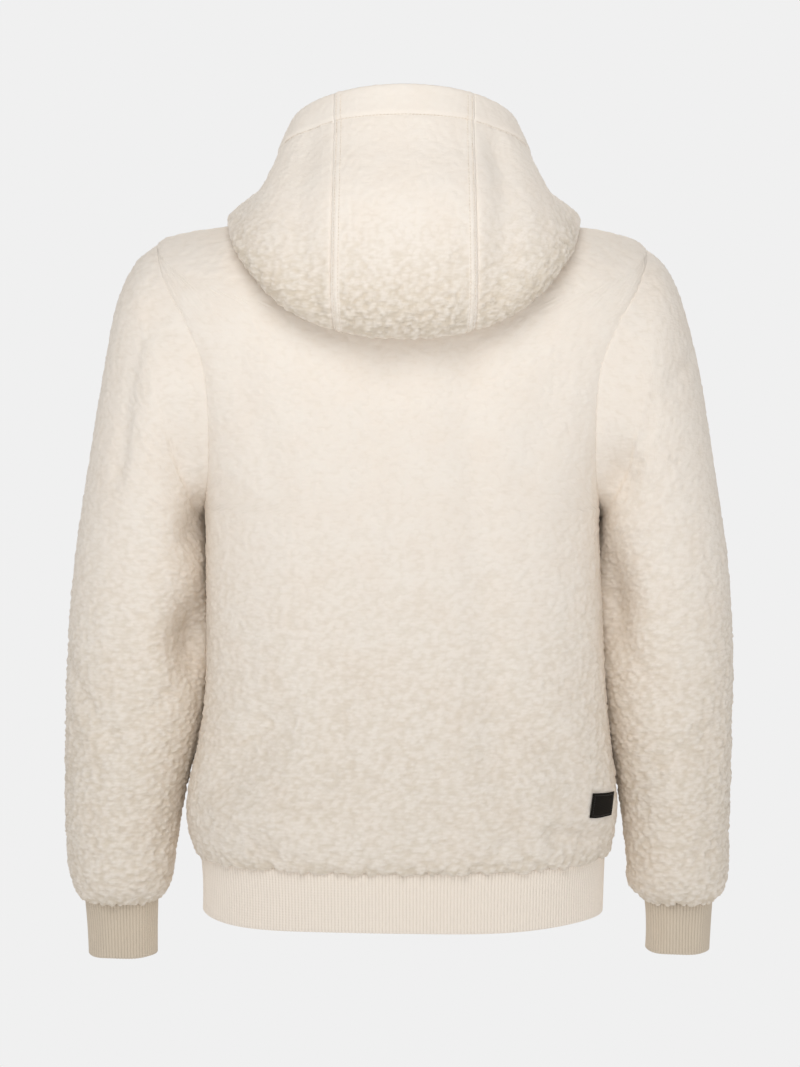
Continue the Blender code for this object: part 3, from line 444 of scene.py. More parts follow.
def coilNylon(look):
    # nylon coil, dyed cream, with a soft satin shine
    tree, place = newMaterial("coilNylon")
    cloud = addNode(tree, "ShaderNodeTexNoise", {"Vector": place, "Scale": 400.0, "Detail": 2.0}).outputs["Fac"]
    colour = addNode(tree, "ShaderNodeValToRGB", {"Fac": cloud},
                     [(0.3, look["dark"]), (0.7, look["light"])]).outputs["Color"]
    rough = addNode(tree, "ShaderNodeMapRange", {"Value": cloud, "To Min": look["rough"][0],
                                                 "To Max": look["rough"][1]}).outputs[0]
    finishMaterial(tree, colour, rough, cloud, 0.1, 0.0001, **{"IOR": 1.53})


castLook = {"worn": "a7a39b", "plated": "c9c6bf", "rough": (0.22, 0.40)}


def dieCastNickel(look):
    # zinc die casting, tumbled and nickel plated: a soft grey shine, duller where it is handled
    tree, place = newMaterial("dieCastNickel")
    brush = addNode(tree, "ShaderNodeMapping", {"Vector": place, "Scale": (1.0, 1.0, 0.08)}).outputs[0]
    grain = addNode(tree, "ShaderNodeTexNoise", {"Vector": brush, "Scale": 2600.0, "Detail": 2.0}).outputs["Fac"]
    wear = addNode(tree, "ShaderNodeTexNoise", {"Vector": place, "Scale": 260.0, "Detail": 4.0}).outputs["Fac"]
    colour = addNode(tree, "ShaderNodeValToRGB", {"Fac": wear},
                     [(0.35, look["worn"]), (0.70, look["plated"])]).outputs["Color"]
    rough = addNode(tree, "ShaderNodeMapRange", {"Value": grain, "To Min": look["rough"][0],
                                                 "To Max": look["rough"][1]}).outputs[0]
    finishMaterial(tree, colour, rough, grain, 0.12, 0.0001, **{"Metallic": 1.0})


labelLook = {"base": "14110d", "shine": "201c17", "weft": 0.8}  # weft spacing in mm, coarser than real


def blackDamask(look):
    # damask woven polyester label: near black, with faint weft lines and nothing written on it
    tree, place = newMaterial("blackDamask")
    weft = addNode(tree, "ShaderNodeTexWave", {"Vector": place, "Scale": waveScale(look["weft"]),
                                               "Distortion": 0.4},
                   wave_type="BANDS", bands_direction="Z").outputs["Fac"]
    cloud = addNode(tree, "ShaderNodeTexNoise", {"Vector": place, "Scale": 500.0, "Detail": 3.0}).outputs["Fac"]
    tone = addNode(tree, "ShaderNodeMath", {0: weft, 1: cloud}, operation="MULTIPLY").outputs[0]
    colour = addNode(tree, "ShaderNodeValToRGB", {"Fac": tone},
                     [(0.1, look["base"]), (0.6, look["shine"])]).outputs["Color"]
    finishMaterial(tree, colour, 0.75, weft, 0.35, 0.0002, **{"Specular IOR Level": 0.12})


teddyPile(teddyLook)
knitBacking(backingLook)
ribKnit("ribKnit", hemLook)
ribKnit("shadedCuffKnit", shadedCuffLook)
for name, look in threadLooks.items():
    threadMaterial(name, look)
wovenTape(tapeLook)
coilNylon(coilLook)
dieCastNickel(castLook)
blackDamask(labelLook)
print("materials made:", len(materials))


# geometry nodes: curls of the pile, knit ribs, stitches and the zip's coil

def newTree(name, given, sizes):
    tree = bpy.data.node_groups.new(name, "GeometryNodeTree")
    tree.interface.new_socket(given, in_out="INPUT", socket_type="NodeSocketGeometry")
    for label, value in sizes.items():
        tree.interface.new_socket(label, in_out="INPUT", socket_type="NodeSocketFloat").default_value = value
    tree.interface.new_socket("Result", in_out="OUTPUT", socket_type="NodeSocketGeometry")
    return tree, addNode(tree, "NodeGroupInput").outputs


def endTree(tree, geometry, material, selection=True):
    real = addNode(tree, "GeometryNodeRealizeInstances", {"Geometry": geometry}).outputs[0]
    dressed = addNode(tree, "GeometryNodeSetMaterial",
                      {"Geometry": real, "Selection": selection, "Material": materials[material]}).outputs[0]
    addNode(tree, "NodeGroupOutput", {"Result": dressed})
    return tree


def alongNormal(tree, geometry, rise):
    up = addNode(tree, "GeometryNodeInputNormal").outputs[0]
    offset = addNode(tree, "ShaderNodeVectorMath", {0: up, "Scale": rise}, operation="SCALE").outputs[0]
    return addNode(tree, "GeometryNodeSetPosition", {"Geometry": geometry, "Offset": offset}).outputs[0]


curlSizes = {
    "Curl width": 0.0066, "Curl height": 0.0041,      # metres, across and up the cloth
    "Curl rise": 0.0018, "Lump rise": 0.0009, "Fibre rise": 0.0009,
    "Tall scale": 95.0, "Lump scale": 42.0, "Fibre scale": 430.0,   # patterns to a metre
    "Warp": 0.55, "Seed": 3.0,
}


def curlTree():
    tree, given = newTree("pileCurls", "Cloth", curlSizes)
    place = addNode(tree, "GeometryNodeInputPosition").outputs[0]
    pile = addNode(tree, "GeometryNodeInputNamedAttribute", {"Name": "pile"}, data_type="FLOAT").outputs["Attribute"]
    size = addNode(tree, "ShaderNodeCombineXYZ", {0: given["Curl width"], 1: given["Curl width"],
                                                  2: given["Curl height"]}).outputs[0]
    # cells of a curl's size, pulled about so that no two are alike
    cell = addNode(tree, "ShaderNodeVectorMath", {0: place, 1: size}, operation="DIVIDE").outputs[0]
    wander = addNode(tree, "ShaderNodeTexNoise", {"Vector": cell, "W": given["Seed"], "Scale": 0.8, "Detail": 2.0},
                     noise_dimensions="4D").outputs["Color"]
    wander = addNode(tree, "ShaderNodeVectorMath", {0: wander, 1: (0.5, 0.5, 0.5)}, operation="SUBTRACT").outputs[0]
    pull = addNode(tree, "ShaderNodeVectorMath", {0: wander, "Scale": given["Warp"]}, operation="SCALE").outputs[0]
    cell = addNode(tree, "ShaderNodeVectorMath", {0: cell, 1: pull}, operation="ADD").outputs[0]
    crumb = addNode(tree, "ShaderNodeTexVoronoi", {"Vector": cell, "Scale": 1.0, "Smoothness": 0.35},
                    feature="SMOOTH_F1").outputs["Distance"]
    crumb = addNode(tree, "ShaderNodeMapRange", {"Value": crumb, "From Min": 0.28, "From Max": 0.80,
                                                 "To Min": 1.0, "To Max": 0.0},
                    interpolation_type="SMOOTHSTEP").outputs[0]
    tall, lump, fibre = [
        addNode(tree, "ShaderNodeTexNoise", {"Vector": place, "Scale": given[part], "Detail": 1.0}).outputs["Fac"]
        for part in ("Tall scale", "Lump scale", "Fibre scale")]
    tall = addNode(tree, "ShaderNodeMapRange", {"Value": tall, "From Min": 0.3, "From Max": 0.7,
                                                "To Min": 0.35, "To Max": 1.25}).outputs[0]
    lump, fibre = [addNode(tree, "ShaderNodeMath", {0: noise, 1: 0.5}, operation="SUBTRACT").outputs[0]
                   for noise in (lump, fibre)]
    # the whole rise: curls, then lumps and fibres up and down about the middle
    rise = addNode(tree, "ShaderNodeMath", {0: crumb, 1: tall}, operation="MULTIPLY").outputs[0]
    rise = addNode(tree, "ShaderNodeMath", {0: rise, 1: given["Curl rise"]}, operation="MULTIPLY").outputs[0]
    for part, size in ((lump, "Lump rise"), (fibre, "Fibre rise")):
        more = addNode(tree, "ShaderNodeMath", {0: part, 1: given[size]}, operation="MULTIPLY").outputs[0]
        rise = addNode(tree, "ShaderNodeMath", {0: rise, 1: more}, operation="ADD").outputs[0]
    rise = addNode(tree, "ShaderNodeMath", {0: rise, 1: pile}, operation="MULTIPLY").outputs[0]
    moved = alongNormal(tree, given["Cloth"], rise)
    # how high a spot stands, from which the material paints a highlight on the curls' tops and shade between them
    shade = addNode(tree, "ShaderNodeMath", {0: fibre, 1: 0.8}, operation="MULTIPLY").outputs[0]
    shade = addNode(tree, "ShaderNodeMath", {0: crumb, 1: shade}, operation="ADD").outputs[0]
    shade = addNode(tree, "ShaderNodeMath", {0: shade, 1: 0.55}, operation="SUBTRACT").outputs[0]
    shade = addNode(tree, "ShaderNodeMath", {0: shade, 1: pile}, operation="MULTIPLY").outputs[0]
    kept = addNode(tree, "GeometryNodeStoreNamedAttribute", {"Geometry": moved, "Name": "curlShade", "Value": shade},
                   data_type="FLOAT", domain="POINT").outputs[0]
    slotNow = addNode(tree, "GeometryNodeInputMaterialIndex").outputs[0]
    onPile = addNode(tree, "FunctionNodeCompare", {2: slotNow, 3: 0}, data_type="INT", operation="EQUAL").outputs[0]
    return endTree(tree, kept, "teddyPile", onPile)


ribSizes = {"Ribs": 100.0, "Rib rise": 0.0008, "Softness": 0.7, "Loop rise": 0.00015, "Loop scale": 260.0}


def ribTree(name, material):
    tree, given = newTree(name, "Band", ribSizes)
    share, pile = [
        addNode(tree, "GeometryNodeInputNamedAttribute", {"Name": part}, data_type="FLOAT").outputs["Attribute"]
        for part in ("share", "pile")]
    turn = addNode(tree, "ShaderNodeMath", {0: share, 1: given["Ribs"]}, operation="MULTIPLY").outputs[0]
    turn = addNode(tree, "ShaderNodeMath", {0: turn, 1: math.pi}, operation="MULTIPLY").outputs[0]
    wave = addNode(tree, "ShaderNodeMath", {0: turn}, operation="SINE").outputs[0]
    wave = addNode(tree, "ShaderNodeMath", {0: wave}, operation="ABSOLUTE").outputs[0]
    wave = addNode(tree, "ShaderNodeMath", {0: wave, 1: given["Softness"]}, operation="POWER").outputs[0]
    place = addNode(tree, "GeometryNodeInputPosition").outputs[0]
    uneven = addNode(tree, "ShaderNodeTexNoise",
                     {"Vector": place, "Scale": given["Loop scale"], "Detail": 1.0}).outputs["Fac"]
    ribUp = addNode(tree, "ShaderNodeMath", {0: wave, 1: given["Rib rise"]}, operation="MULTIPLY").outputs[0]
    loopUp = addNode(tree, "ShaderNodeMath", {0: uneven, 1: given["Loop rise"]}, operation="MULTIPLY").outputs[0]
    rise = addNode(tree, "ShaderNodeMath", {0: ribUp, 1: loopUp}, operation="ADD").outputs[0]
    rise = addNode(tree, "ShaderNodeMath", {0: rise, 1: pile}, operation="MULTIPLY").outputs[0]
    moved = alongNormal(tree, given["Band"], rise)
    kept = addNode(tree, "GeometryNodeStoreNamedAttribute", {"Geometry": moved, "Name": "rib", "Value": wave},
                   data_type="FLOAT", domain="POINT").outputs[0]
    return endTree(tree, kept, material)


def beadTree(name, material, sizes):
    # small rounded lengths laid end to end along a line: stitches, or one side of a zip's coil
    tree, given = newTree(name, "Path", sizes)
    path = addNode(tree, "GeometryNodeMeshToCurve", {"Mesh": given["Path"]}).outputs[0]
    spots = addNode(tree, "GeometryNodeCurveToPoints", {"Curve": path, "Length": given["Spacing"]}, mode="LENGTH")
    turned = addNode(tree, "FunctionNodeAxesToRotation", {0: spots.outputs["Tangent"], 1: (1.0, 0.0, 0.0)},
                     primary_axis="Z", secondary_axis="X").outputs[0]
    ball = addNode(tree, "GeometryNodeMeshUVSphere", {"Segments": 8, "Rings": 5, "Radius": 1.0}).outputs[0]
    size = addNode(tree, "ShaderNodeCombineXYZ", {0: given["Half width"], 1: given["Half depth"],
                                                  2: given["Half length"]}).outputs[0]
    laid = addNode(tree, "GeometryNodeInstanceOnPoints", {"Points": spots.outputs["Points"], "Instance": ball,
                                                          "Rotation": turned, "Scale": size}).outputs[0]
    return endTree(tree, laid, material)


def bakeNodes(obj, tree, values=None):
    # runs the tree on the object and keeps the result as a plain mesh
    modifier = obj.modifiers.new(tree.name, "NODES")
    modifier.node_group = tree
    named = {item.name: item.identifier for item in tree.interface.items_tree if item.in_out == "INPUT"}
    for name, value in (values or {}).items():
        modifier[named[name]] = value
    bpy.context.view_layer.update()
    graph = bpy.context.evaluated_depsgraph_get()
    mesh = bpy.data.meshes.new_from_object(obj.evaluated_get(graph), preserve_all_data_layers=True, depsgraph=graph)
    obj.modifiers.clear()
    mesh.name = obj.name
    obj.data = mesh
    return obj


pileCurls = curlTree()
hemRibs = ribTree("hemRibs", "ribKnit")
cuffRibs = ribTree("cuffRibs", "shadedCuffKnit")
topStitch = beadTree("topStitch", "creamThread",
                     {"Spacing": 0.0034, "Half width": 0.00042, "Half depth": 0.00042, "Half length": 0.0014})
labelStitch = beadTree("labelStitch", "blackThread",
                       {"Spacing": 0.0022, "Half width": 0.00028, "Half depth": 0.00028, "Half length": 0.0009})
zipCoil = beadTree("zipCoil", "coilNylon",
                   {"Spacing": 0.0019, "Half width": 0.0017, "Half depth": 0.0011, "Half length": 0.00082})


# turning grids of points into closed cloth

def newObject(name, mesh):
    obj = bpy.data.objects.new(name, mesh)
    bpy.context.scene.collection.objects.link(obj)
    return obj


def roundOff(points, normals, wall, atEnd, axis):
    # three more lines of points that turn a free edge over half the wall
    points, normals = np.moveaxis(points, axis, 0), np.moveaxis(normals, axis, 0)
    edge, inside = (-1, -2) if atEnd else (0, 1)
    out = unit(points[edge] - points[inside])
    more, moreNormals = [], []
    for turn in (math.pi / 4, math.pi / 2, 3 * math.pi / 4):
        more.append(points[edge] + (out * math.sin(turn) - normals[edge] * (1 - math.cos(turn))) * wall / 2)
        moreNormals.append(normals[edge] * math.cos(turn) + out * math.sin(turn))
    if atEnd:
        points, normals = np.concatenate([points, more]), np.concatenate([normals, moreNormals])
    else:
        points, normals = np.concatenate([more[::-1], points]), np.concatenate([moreNormals[::-1], normals])
    return np.moveaxis(points, 0, axis), np.moveaxis(normals, 0, axis)


def closedCloth(name, points, normals, pile, isRing=False, roundEdges=(), wall=None, sink=None,
                faces=("teddyPile", "knitBacking")):
    # a dense face and a coarse inside, joined round their edges
    # pile is how tall the curls stand at each point, 1 at full height; on the teddy pile, taller pile is also painted
    # darker
    wall = cloth["wall"] if wall is None else wall
    sink = cloth["sink"] if sink is None else sink
    step = cloth["coarse"]
    rows, columns = points.shape[:2]
    inner = (points - wall * normals)[::step][:, ::step]
    lines = [list(range(0, rows, step)), list(range(0, columns, step))]
    outer, outerNormals = points - sink * normals * pile[..., None], normals
    for edge in roundEdges:
        axis, atEnd = {"top": (0, False), "bottom": (0, True), "first": (1, False), "last": (1, True)}[edge]
        outer, outerNormals = roundOff(outer, outerNormals, wall, atEnd, axis)
        grow = [(0, 0), (0, 0)]
        grow[axis] = (0, 3) if atEnd else (3, 0)
        pile = np.pad(pile, grow, mode="linear_ramp", end_values=0.15)
        # the first or last line of the inside meets the very edge
        moved = slice(-1, None) if atEnd else slice(1, None)
        lines[axis][moved] = [k + 3 for k in lines[axis][moved]]
    rowAt, columnAt = lines
    big, wide = outer.shape[:2]
    few, slim = inner.shape[:2]
    base = big * wide
    i, j = np.meshgrid(np.arange(big - 1), np.arange(wide if isRing else wide - 1), indexing="ij")
    k = (j + 1) % wide
    quads = np.stack([i * wide + j, i * wide + k, (i + 1) * wide + k, (i + 1) * wide + j], -1).reshape(-1, 4)
    i, j = np.meshgrid(np.arange(few - 1), np.arange(slim if isRing else slim - 1), indexing="ij")
    k = (j + 1) % slim
    inside = np.stack([i * slim + j, (i + 1) * slim + j, (i + 1) * slim + k, i * slim + k], -1).reshape(-1, 4)
    rim = []
    columnAt = columnAt + [wide] if isRing else columnAt
    foot, low = base + (few - 1) * slim, (big - 1) * wide
    for j in range(len(columnAt) - 1):
        span = [c % wide for c in range(columnAt[j], columnAt[j + 1] + 1)]
        k = (j + 1) % slim
        rim.append(span[::-1] + [base + j, base + k])
        rim.append([low + c for c in span] + [foot + k, foot + j])
    if not isRing:
        for i in range(len(rowAt) - 1):
            span = [r * wide for r in range(rowAt[i], rowAt[i + 1] + 1)]
            here, after = base + i * slim, base + (i + 1) * slim
            rim.append(span + [after, here])
            rim.append([r + wide - 1 for r in span[::-1]] + [here + slim - 1, after + slim - 1])
    allFaces = quads.tolist() + (inside + base).tolist() + rim
    corners = outer.reshape(-1, 3)
    tri = corners[quads[:, :3]]
    facing = np.cross(tri[:, 1] - tri[:, 0], tri[:, 2] - tri[:, 0]) * outerNormals.reshape(-1, 3)[quads[:, 0]]
    if facing.sum() < 0:
        allFaces = [face[::-1] for face in allFaces]
    mesh = bpy.data.meshes.new(name)
    mesh.from_pydata(np.concatenate([corners, inner.reshape(-1, 3)]).tolist(), [], allFaces)
    heights = np.concatenate([pile.reshape(-1), np.zeros(few * slim)])
    mesh.attributes.new("pile", "FLOAT", "POINT").data.foreach_set("value", heights.astype(np.float32))
    slots = np.ones(len(mesh.polygons), np.int32)
    slots[:len(quads)] = 0
    for face in dict.fromkeys(faces):
        mesh.materials.append(materials[face])
    if len(set(faces)) > 1:
        mesh.polygons.foreach_set("material_index", slots)
    mesh.shade_smooth()
    return newObject(name, mesh)


def lineObject(name, paths):
    # open lines of points, for the stitches and the coil to follow
    verts, edges = [], []
    for path in paths:
        first = len(verts)
        verts += [tuple(p) for p in path]
        edges += [(first + k, first + k + 1) for k in range(len(path) - 1)]
    mesh = bpy.data.meshes.new(name)
    mesh.from_pydata(verts, edges, [])
    return newObject(name, mesh)


def joined(target, other):
    with bpy.context.temp_override(active_object=target, selected_editable_objects=[target, other]):
        bpy.ops.object.join()
    return target


def smoothAll(obj):
    obj.data.shade_smooth()
    return obj


def sit(obj, body, slot, *nodes):
    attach(obj, body)
    if nodes:
        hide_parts(*nodes)


seeded = np.random.default_rng(11)
tuftPhases = seeded.uniform(0, 2 * math.pi, 12)


def tuftEdge(run, seed):
    # an uneven edge, the sum of a few waves from 9 to 60 mm long
    waves = ((60, 0.34), (33, 0.26), (19, 0.24), (12.5, 0.22), (8.6, 0.20))
    return sum(size * np.sin(run * 2000 * math.pi / length + tuftPhases[(k + seed) % 12])
               for k, (length, size) in enumerate(waves))


def raggedEdge(points, normals, pile, away, run, drop, stand, seeds):
    # curls hang over the rib and stand out from it, each by its own share of the most they do
    points[..., 2] -= drop * (0.40 + 0.60 * tuftEdge(run, seeds[0])) * swell(away, cloth["hangHalf"])
    near = swell(away, cloth["standHalf"])
    points = points + normals * (stand * near * (0.6 + 0.5 * tuftEdge(run, seeds[1])))[..., None]
    return points, pile * (1 + cloth["taller"] * near)


def looseCurlsAndShade(points):
    # how loose the curls stand: flatter over the shoulders, looser low down, where the material also paints the cloth
    # darker, painted shade towards the bottom
    return 0.50 + 0.50 * smoothStep(-0.22, -0.58, points[..., 2])


stitchLines = []


# body panels

panelDetail = {
    "rows": 301, "backColumns": 265, "frontColumns": 141,
    "tuftDrop": 0.0038, "tuftStand": 0.0016,   # how far curls hang over the rib, and stand out from it
    "tuftSeeds": (2, 5), "hemRadius": 0.17,
    # the zip's top stitching: from the edge, half its width, how deep it pulls and flattens the pile
    "zipStitch": 0.0065, "zipStitchHalf": 0.0016, "zipStitchDip": 0.0009, "zipStitchFlat": 0.80,
}
labelPatch = {
    # its two sides, and its top and bottom counted in rings of the body
    "x": (-0.1830, -0.2060), "rings": (14.50, 15.31),
    "lift": 0.0011, "wall": 0.0008, "bulge": 0.0006, "count": 25,
    "tilt": -0.07, "slant": 0.0035, "ripple": 0.02,
    "half": (0.0125, 0.0135), "flat": 0.9,      # the pile pressed flat behind it
}


def ringRows(count):
    # even down the cloth, measured down the middle back and down one side
    fine = np.linspace(0, torsoShape["hemRing"], 1500)
    run = sum(runLength(torso(np.full_like(fine, angle), fine)) for angle in (math.pi / 2, 0.35)) / 2
    return np.interp(np.linspace(0, run[-1], count), run, fine)


def labelSpot():
    ring = sum(labelPatch["rings"]) / 2
    angle = angleAt(np.array(sum(labelPatch["x"]) / 2), np.array(ring), True)
    return torso(angle, ring)


def torsoPanel(name, isBack, side):
    columns = panelDetail["backColumns"] if isBack else panelDetail["frontColumns"]
    points, normals = [], []
    for ring in ringRows(panelDetail["rows"]):
        edge = float(armholeAngle(np.array(ring), isBack))
        if isBack:
            angles = panelAngles(edge, math.pi - edge, 0.0, math.pi, ring, columns)
        else:
            middle = float(angleAt(np.array(cloth["frontEdgeX"] * side), np.array(ring), False))
            seam = 0.0 if side > 0 else -math.pi
            angles = panelAngles(seam - edge * side, middle, seam, middle, ring, columns)
        points.append(torso(angles, ring))
        normals.append(torsoNormal(angles, ring))
    points, normals = np.array(points), np.array(normals)
    pile = looseCurlsAndShade(points)
    seams = [edgeDistance(points, 1, False)] + ([edgeDistance(points, 1, True)] if isBack else [])
    for away in seams:
        near = swell(away, cloth["seamHalf"])
        points = points - normals * (cloth["seamDip"] * near)[..., None]
        pile = pile * (1 - cloth["seamFlat"] * near)
    if not isBack:
        zipSide = edgeDistance(points, 1, True)
        line = swell(zipSide - panelDetail["zipStitch"], panelDetail["zipStitchHalf"])
        points = points - normals * (panelDetail["zipStitchDip"] * line)[..., None]
        pile = pile * (1 - panelDetail["zipStitchFlat"] * line) * smoothStep(-0.004, 0.010, zipSide)
        stitchLines.append(lineAt(points, zipSide, panelDetail["zipStitch"], 1)[4:-2])
    run = np.arctan2(points[..., 1], points[..., 0]) * panelDetail["hemRadius"]
    points, pile = raggedEdge(points, normals, pile, edgeDistance(points, 0, True), run,
                              panelDetail["tuftDrop"], panelDetail["tuftStand"], panelDetail["tuftSeeds"])
    pile = pile * smoothStep(-0.004, 0.012, edgeDistance(points, 0, False))   # plain at the neck seam
    if isBack:
        spot = labelSpot()
        across = (points[..., 0] - spot[0]) / labelPatch["half"][0]
        upDown = (points[..., 2] - spot[2]) / labelPatch["half"][1]
        pile = pile * (1 - labelPatch["flat"] * np.exp(-(across**6) - upDown**6))
    obj = closedCloth(name, points, normals, pile, roundEdges=("bottom",) if isBack else ("last", "bottom"))
    return bakeNodes(obj, pileCurls)


panels = {
    "backPanel": torsoPanel("backPanel", True, 0),
    "frontLeftPanel": torsoPanel("frontLeftPanel", False, 1),
    "frontRightPanel": torsoPanel("frontRightPanel", False, -1),
}
for piece, node in (("backPanel", "back"), ("frontLeftPanel", "front_left"), ("frontRightPanel", "front_right")):
    sit(panels[piece], "jacket", "fleece", node)
print("body panels:", {n: len(o.data.polygons) for n, o in panels.items()})


# sleeves: sections from just outside the armhole down to the cuff

sleeveShape = {
    # outer x and z, inner x and z, half the depth, how far the section sits back
    "left": [
        (0.2600, -0.0440, 0.2002, -0.3000, 0.0990, -0.0060),
        (0.2765, -0.0710, 0.2005, -0.3080, 0.0980, -0.0060),
        (0.2872, -0.1060, 0.2003, -0.3180, 0.0950, -0.0060),
        (0.2965, -0.1560, 0.2000, -0.3310, 0.0900, -0.0055),
        (0.3065, -0.2140, 0.1995, -0.3470, 0.0840, -0.0050),
        (0.3160, -0.2710, 0.1992, -0.3680, 0.0780, -0.0045),
        (0.3250, -0.3280, 0.1992, -0.3930, 0.0740, -0.0045),
        (0.3315, -0.3870, 0.1996, -0.4260, 0.0710, -0.0050),
        (0.3360, -0.4480, 0.2005, -0.4670, 0.0690, -0.0060),
        (0.3378, -0.5070, 0.2068, -0.5170, 0.0670, -0.0070),
        (0.3388, -0.5670, 0.2180, -0.5670, 0.0645, -0.0080),
        (0.3390, -0.6140, 0.2255, -0.6130, 0.0615, -0.0090),
        (0.3370, -0.6490, 0.2300, -0.6480, 0.0580, -0.0100),
        (0.3315, -0.6750, 0.2350, -0.6740, 0.0500, -0.0110),
        (0.3225, -0.6870, 0.2460, -0.6870, 0.0370, -0.0120),
    ],
    "right": [
        (0.2570, -0.0470, 0.2002, -0.3000, 0.0990, -0.0060),
        (0.2720, -0.0720, 0.2005, -0.3080, 0.0980, -0.0060),
        (0.2835, -0.1080, 0.2005, -0.3180, 0.0950, -0.0060),
        (0.2955, -0.1560, 0.2005, -0.3310, 0.0900, -0.0055),
        (0.3055, -0.2140, 0.2010, -0.3470, 0.0840, -0.0050),
        (0.3145, -0.2710, 0.2015, -0.3680, 0.0780, -0.0045),
        (0.3235, -0.3280, 0.2030, -0.3930, 0.0740, -0.0045),
        (0.3290, -0.3870, 0.2046, -0.4260, 0.0710, -0.0050),
        (0.3320, -0.4480, 0.2070, -0.4670, 0.0690, -0.0060),
        (0.3310, -0.5070, 0.2122, -0.5170, 0.0670, -0.0070),
        (0.3305, -0.5670, 0.2190, -0.5670, 0.0645, -0.0080),
        (0.3295, -0.6140, 0.2240, -0.6130, 0.0615, -0.0090),
        (0.3295, -0.6490, 0.2275, -0.6480, 0.0580, -0.0100),
        (0.3270, -0.6750, 0.2300, -0.6740, 0.0500, -0.0110),
        (0.3160, -0.6870, 0.2445, -0.6870, 0.0370, -0.0120),
    ],
    "evenFrom": 6,
    "hollowLean": 0.3,
    # degrees round the sleeve from its outer edge over the back, height, depth, half its turn, half its height
    "hollowsLeft": [
        (128, -0.2200, 0.0060, 24, 0.060),
        (150, -0.3150, 0.0170, 22, 0.027),
        (150, -0.4230, 0.0330, 24, 0.038),
        (48, -0.1500, 0.0040, 12, 0.060),
    ],
    "hollowsRight": [
        (134, -0.2500, 0.0130, 22, 0.036),
        (150, -0.3850, 0.0250, 21, 0.050),
        (60, -0.5600, 0.0040, 16, 0.060),
    ],
    # where the inside of the sleeve rests against the body: degrees, height, push, half its turn, half its height
    "restsLeft": [(198, -0.345, 0.0050, 26, 0.080), (196, -0.480, 0.0066, 26, 0.085)],
    "restsRight": [(198, -0.350, 0.0064, 26, 0.080), (196, -0.480, 0.0094, 26, 0.085)],
    # soft folds: start turn and height, end turn and height, depth (a ridge is negative), half width
    "foldsLeft": [
        (62, -0.060, 66, -0.250, 0.0040, 0.012),
        (95, -0.150, 80, -0.260, -0.0016, 0.016),
        (20, -0.440, 78, -0.520, 0.0032, 0.012),
        (78, -0.520, 128, -0.475, 0.0030, 0.011),
        (30, -0.470, 82, -0.545, -0.0020, 0.012),
        (60, -0.600, 110, -0.590, 0.0018, 0.010),
        (35, -0.636, 80, -0.645, 0.0018, 0.009),
        (95, -0.640, 135, -0.632, 0.0018, 0.009),
        (215, -0.430, 262, -0.500, 0.0034, 0.013),
        (262, -0.500, 320, -0.470, 0.0028, 0.012),
        (230, -0.490, 290, -0.560, -0.0020, 0.013),
        (240, -0.340, 275, -0.380, 0.0026, 0.014),
        (250, -0.625, 300, -0.640, 0.0018, 0.010),
    ],
    "foldsRight": [
        (30, -0.142, 62, -0.166, 0.0026, 0.008),
        (92, -0.200, 120, -0.262, 0.0030, 0.012),
        (100, -0.480, 132, -0.440, 0.0024, 0.011),
        (45, -0.500, 92, -0.535, 0.0022, 0.012),
        (55, -0.560, 98, -0.590, -0.0016, 0.012),
        (30, -0.620, 82, -0.640, 0.0018, 0.010),
        (95, -0.600, 130, -0.625, 0.0018, 0.010),
        (232, -0.450, 280, -0.505, 0.0032, 0.013),
        (280, -0.505, 330, -0.465, 0.0026, 0.012),
        (236, -0.360, 268, -0.400, 0.0024, 0.013),
        (245, -0.610, 300, -0.630, 0.0018, 0.010),
    ],
    "foldEnds": 1.5,
    # the sleeves' pile stands taller than the body's, so it is also painted darker: painted shade
    "rows": 293, "columns": 200, "pile": 1.15,
    "tuck": (0.0003, 0.0018),   # how far the first ring sits inside the armhole, and towards the body
    "underHalf": 0.004, "underFlat": 0.4,   # the seam under the arm
    "tuftDrop": 0.0032, "tuftStand": 0.0015, "tuftSeedsLeft": (4, 9), "tuftSeedsRight": (7, 9),
    "degree": 0.0013,   # metres of cloth to a degree of turn, near enough for folds
    "wristRadius": 0.055,
}


def armholeLoop(side, perRow):
    # from the shoulder tip over the back to the armpit, and up the front
    rings = np.interp(np.arange(10 * perRow + 1) / perRow, np.arange(11), torsoShape["armholeRows"])
    angles = np.concatenate([armholeAngle(rings, True), -armholeAngle(rings, False)[-2:0:-1]])
    if side < 0:
        angles = math.pi - angles
    return torso(angles, np.concatenate([rings, rings[-2:0:-1]]))


def gridNormals(points, side):
    roundWay = np.roll(points, -1, 1) - np.roll(points, 1, 1)
    return unit(np.cross(np.gradient(points, axis=0), roundWay)) * side


def sleeveSections(table, side):
    # the armhole's edge, then each section of the table, as rings of points with their turns
    first = armholeLoop(side, sleeveShape["columns"] // 20)
    columns = len(first)
    even = np.linspace(0, 2 * math.pi, columns, endpoint=False)
    middle = (first[0] + first[columns // 2]) / 2
    reach = (first[0] - middle) @ unit(first[0] - middle)
    depth = np.where(first[:, 1] > 0, first[:, 1].max(), -first[:, 1].min())
    own = np.unwrap(np.arctan2(first[:, 1] / depth, (first - middle) @ unit(first[0] - middle) / reach))
    own = np.where(own < -1e-6, own + 2 * math.pi, own)
    inward = unit((middle - first) * (0, 1, 1))
    tuckIn, tuckSide = sleeveShape["tuck"]
    rings = [first + tuckIn * inward - np.array((tuckSide * side, 0, 0))]
    turns = [own]
    for row, (outX, outZ, inX, inZ, depth, backY) in enumerate(table):
        settle = min(row / sleeveShape["evenFrom"], 1.0)
        turn = (1 - settle) * own + settle * even
        ring = (np.array(((outX + inX) / 2 * side, backY, (outZ + inZ) / 2))
                + np.cos(turn)[:, None] * np.array(((outX - inX) / 2 * side, 0, (outZ - inZ) / 2)))
        ring[:, 1] += np.sin(turn) * depth
        rings.append(ring)
        turns.append(turn)
    return np.array(rings), np.array(turns), inward


